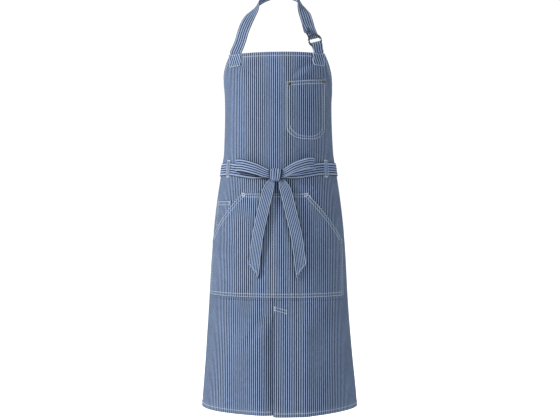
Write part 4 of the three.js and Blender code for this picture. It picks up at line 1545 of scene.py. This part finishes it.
class APRON_OT_stage(bpy.types.Operator):
    """Make the floor, the lights and the camera"""

    bl_idname = "apron.stage"
    bl_label = "Floor, Lights and Camera"

    def execute(self, context):
        stage = context.scene.apron_stage
        aim = Vector((0.004, TO_FRAME.y, TO_FRAME.z - 0.4256))
        bm = bmesh.new()
        bmesh.ops.create_grid(bm, x_segments=2, y_segments=2, size=30)
        bmesh.ops.translate(bm, verts=bm.verts, vec=(0, 0, CAD_BOX[0][2] - 0.27))
        material, tree, shader = new_material("Pale Floor")
        place = tree.nodes.new("ShaderNodeTexCoord").outputs["Object"]
        tone = map_range(tree, noise_node(tree, place, 3.0), 0.3, 0.7, 0.86, 0.90)
        link(tree, tone, shader.inputs["Base Color"])
        shader.inputs["Roughness"].default_value = 0.9
        shader.inputs["Emission Color"].default_value = (1, 1, 1, 1)
        seen = tree.nodes.new("ShaderNodeLightPath").outputs["Is Camera Ray"]
        link(tree, math_node(tree, "MULTIPLY", seen, 0.97), shader.inputs["Emission Strength"])
        floor = new_object("floor", bm, material)
        self.area_light("key_light", (-2.48, -1.66, 0.75), aim, 0.7, stage.key, (0.97, 1.0, 1.03))
        self.area_light("fill_light", (2.2, -2.4, 0.1), aim, 1.8, stage.fill, (0.93, 0.97, 1.0))
        self.area_light("back_light", (0.6, 2.4, 0.9), aim, 1.6, stage.fill * 1.5, (0.96, 0.98, 1.0))
        self.world(stage.ambient)
        camera = bpy.data.objects.new("camera", bpy.data.cameras.new("camera"))
        camera.data.lens = stage.lens
        camera.data.sensor_width = 36
        spot = Vector((math.sin(stage.azimuth), -math.cos(stage.azimuth), 0)) * stage.distance
        camera.location = Vector((0, TO_FRAME.y, aim.z)) + spot
        camera.rotation_euler = (aim - camera.location).to_track_quat("-Z", "Y").to_euler()
        context.collection.objects.link(camera)
        context.scene.camera = camera
        context.scene.view_settings.view_transform = "Standard"
        return {"FINISHED"}

    def area_light(self, name, spot, aim, size, power, colour):
        light = bpy.data.lights.new(name, "AREA")
        light.shape = "DISK"
        light.size = size
        light.energy = power
        light.color = colour
        obj = bpy.data.objects.new(name, light)
        obj.location = spot
        obj.rotation_euler = (aim - Vector(spot)).to_track_quat("-Z", "Y").to_euler()
        bpy.context.collection.objects.link(obj)

    def world(self, ambient):
        """White all round: as bright as paper to the eye, and softer as light."""
        world = bpy.data.worlds.new("Studio")
        world.use_nodes = True
        tree = world.node_tree
        tree.nodes.clear()
        seen = tree.nodes.new("ShaderNodeBackground")
        seen.inputs["Color"].default_value = (1, 1, 1, 1)
        seen.inputs["Strength"].default_value = 1.05
        lighting = tree.nodes.new("ShaderNodeBackground")
        lighting.inputs["Color"].default_value = (0.90, 0.99, 1.06, 1)
        lighting.inputs["Strength"].default_value = ambient
        mix = tree.nodes.new("ShaderNodeMixShader")
        link(tree, tree.nodes.new("ShaderNodeLightPath").outputs["Is Camera Ray"], mix.inputs[0])
        link(tree, lighting.outputs[0], mix.inputs[1])
        link(tree, seen.outputs[0], mix.inputs[2])
        output = tree.nodes.new("ShaderNodeOutputWorld")
        link(tree, mix.outputs[0], output.inputs["Surface"])
        bpy.context.scene.world = world


class APRON_PT_panel(bpy.types.Panel):
    """Lists the apron's steps and settings"""

    bl_idname = "APRON_PT_panel"
    bl_label = "Butcher Apron"
    bl_space_type = "VIEW_3D"
    bl_region_type = "UI"
    bl_category = "Apron"

    def draw(self, context):
        layout = self.layout
        for group in (context.scene.apron_sizes, context.scene.apron_colours, context.scene.apron_stage):
            box = layout.box()
            for name in group.__annotations__:
                box.prop(group, name)
        for step in STEPS:
            layout.operator(step.bl_idname)


STEPS = (
    APRON_OT_materials,
    APRON_OT_panel,
    APRON_OT_skirt,
    APRON_OT_pockets,
    APRON_OT_rivets,
    APRON_OT_neck,
    APRON_OT_ties,
    APRON_OT_bow,
    APRON_OT_stage,
)
CLASSES = (ApronSizes, ApronColours, ApronStage, *STEPS, APRON_PT_panel)


def register():
    for cls in CLASSES:
        bpy.utils.register_class(cls)
    bpy.types.Scene.apron_sizes = PointerProperty(type=ApronSizes)
    bpy.types.Scene.apron_colours = PointerProperty(type=ApronColours)
    bpy.types.Scene.apron_stage = PointerProperty(type=ApronStage)


def unregister():
    del bpy.types.Scene.apron_stage
    del bpy.types.Scene.apron_colours
    del bpy.types.Scene.apron_sizes
    for cls in reversed(CLASSES):
        bpy.utils.unregister_class(cls)


def main():
    register()
    for step in STEPS:
        area, name = step.bl_idname.split(".")
        getattr(getattr(bpy.ops, area), name)()


if __name__ == "__main__":
    main()
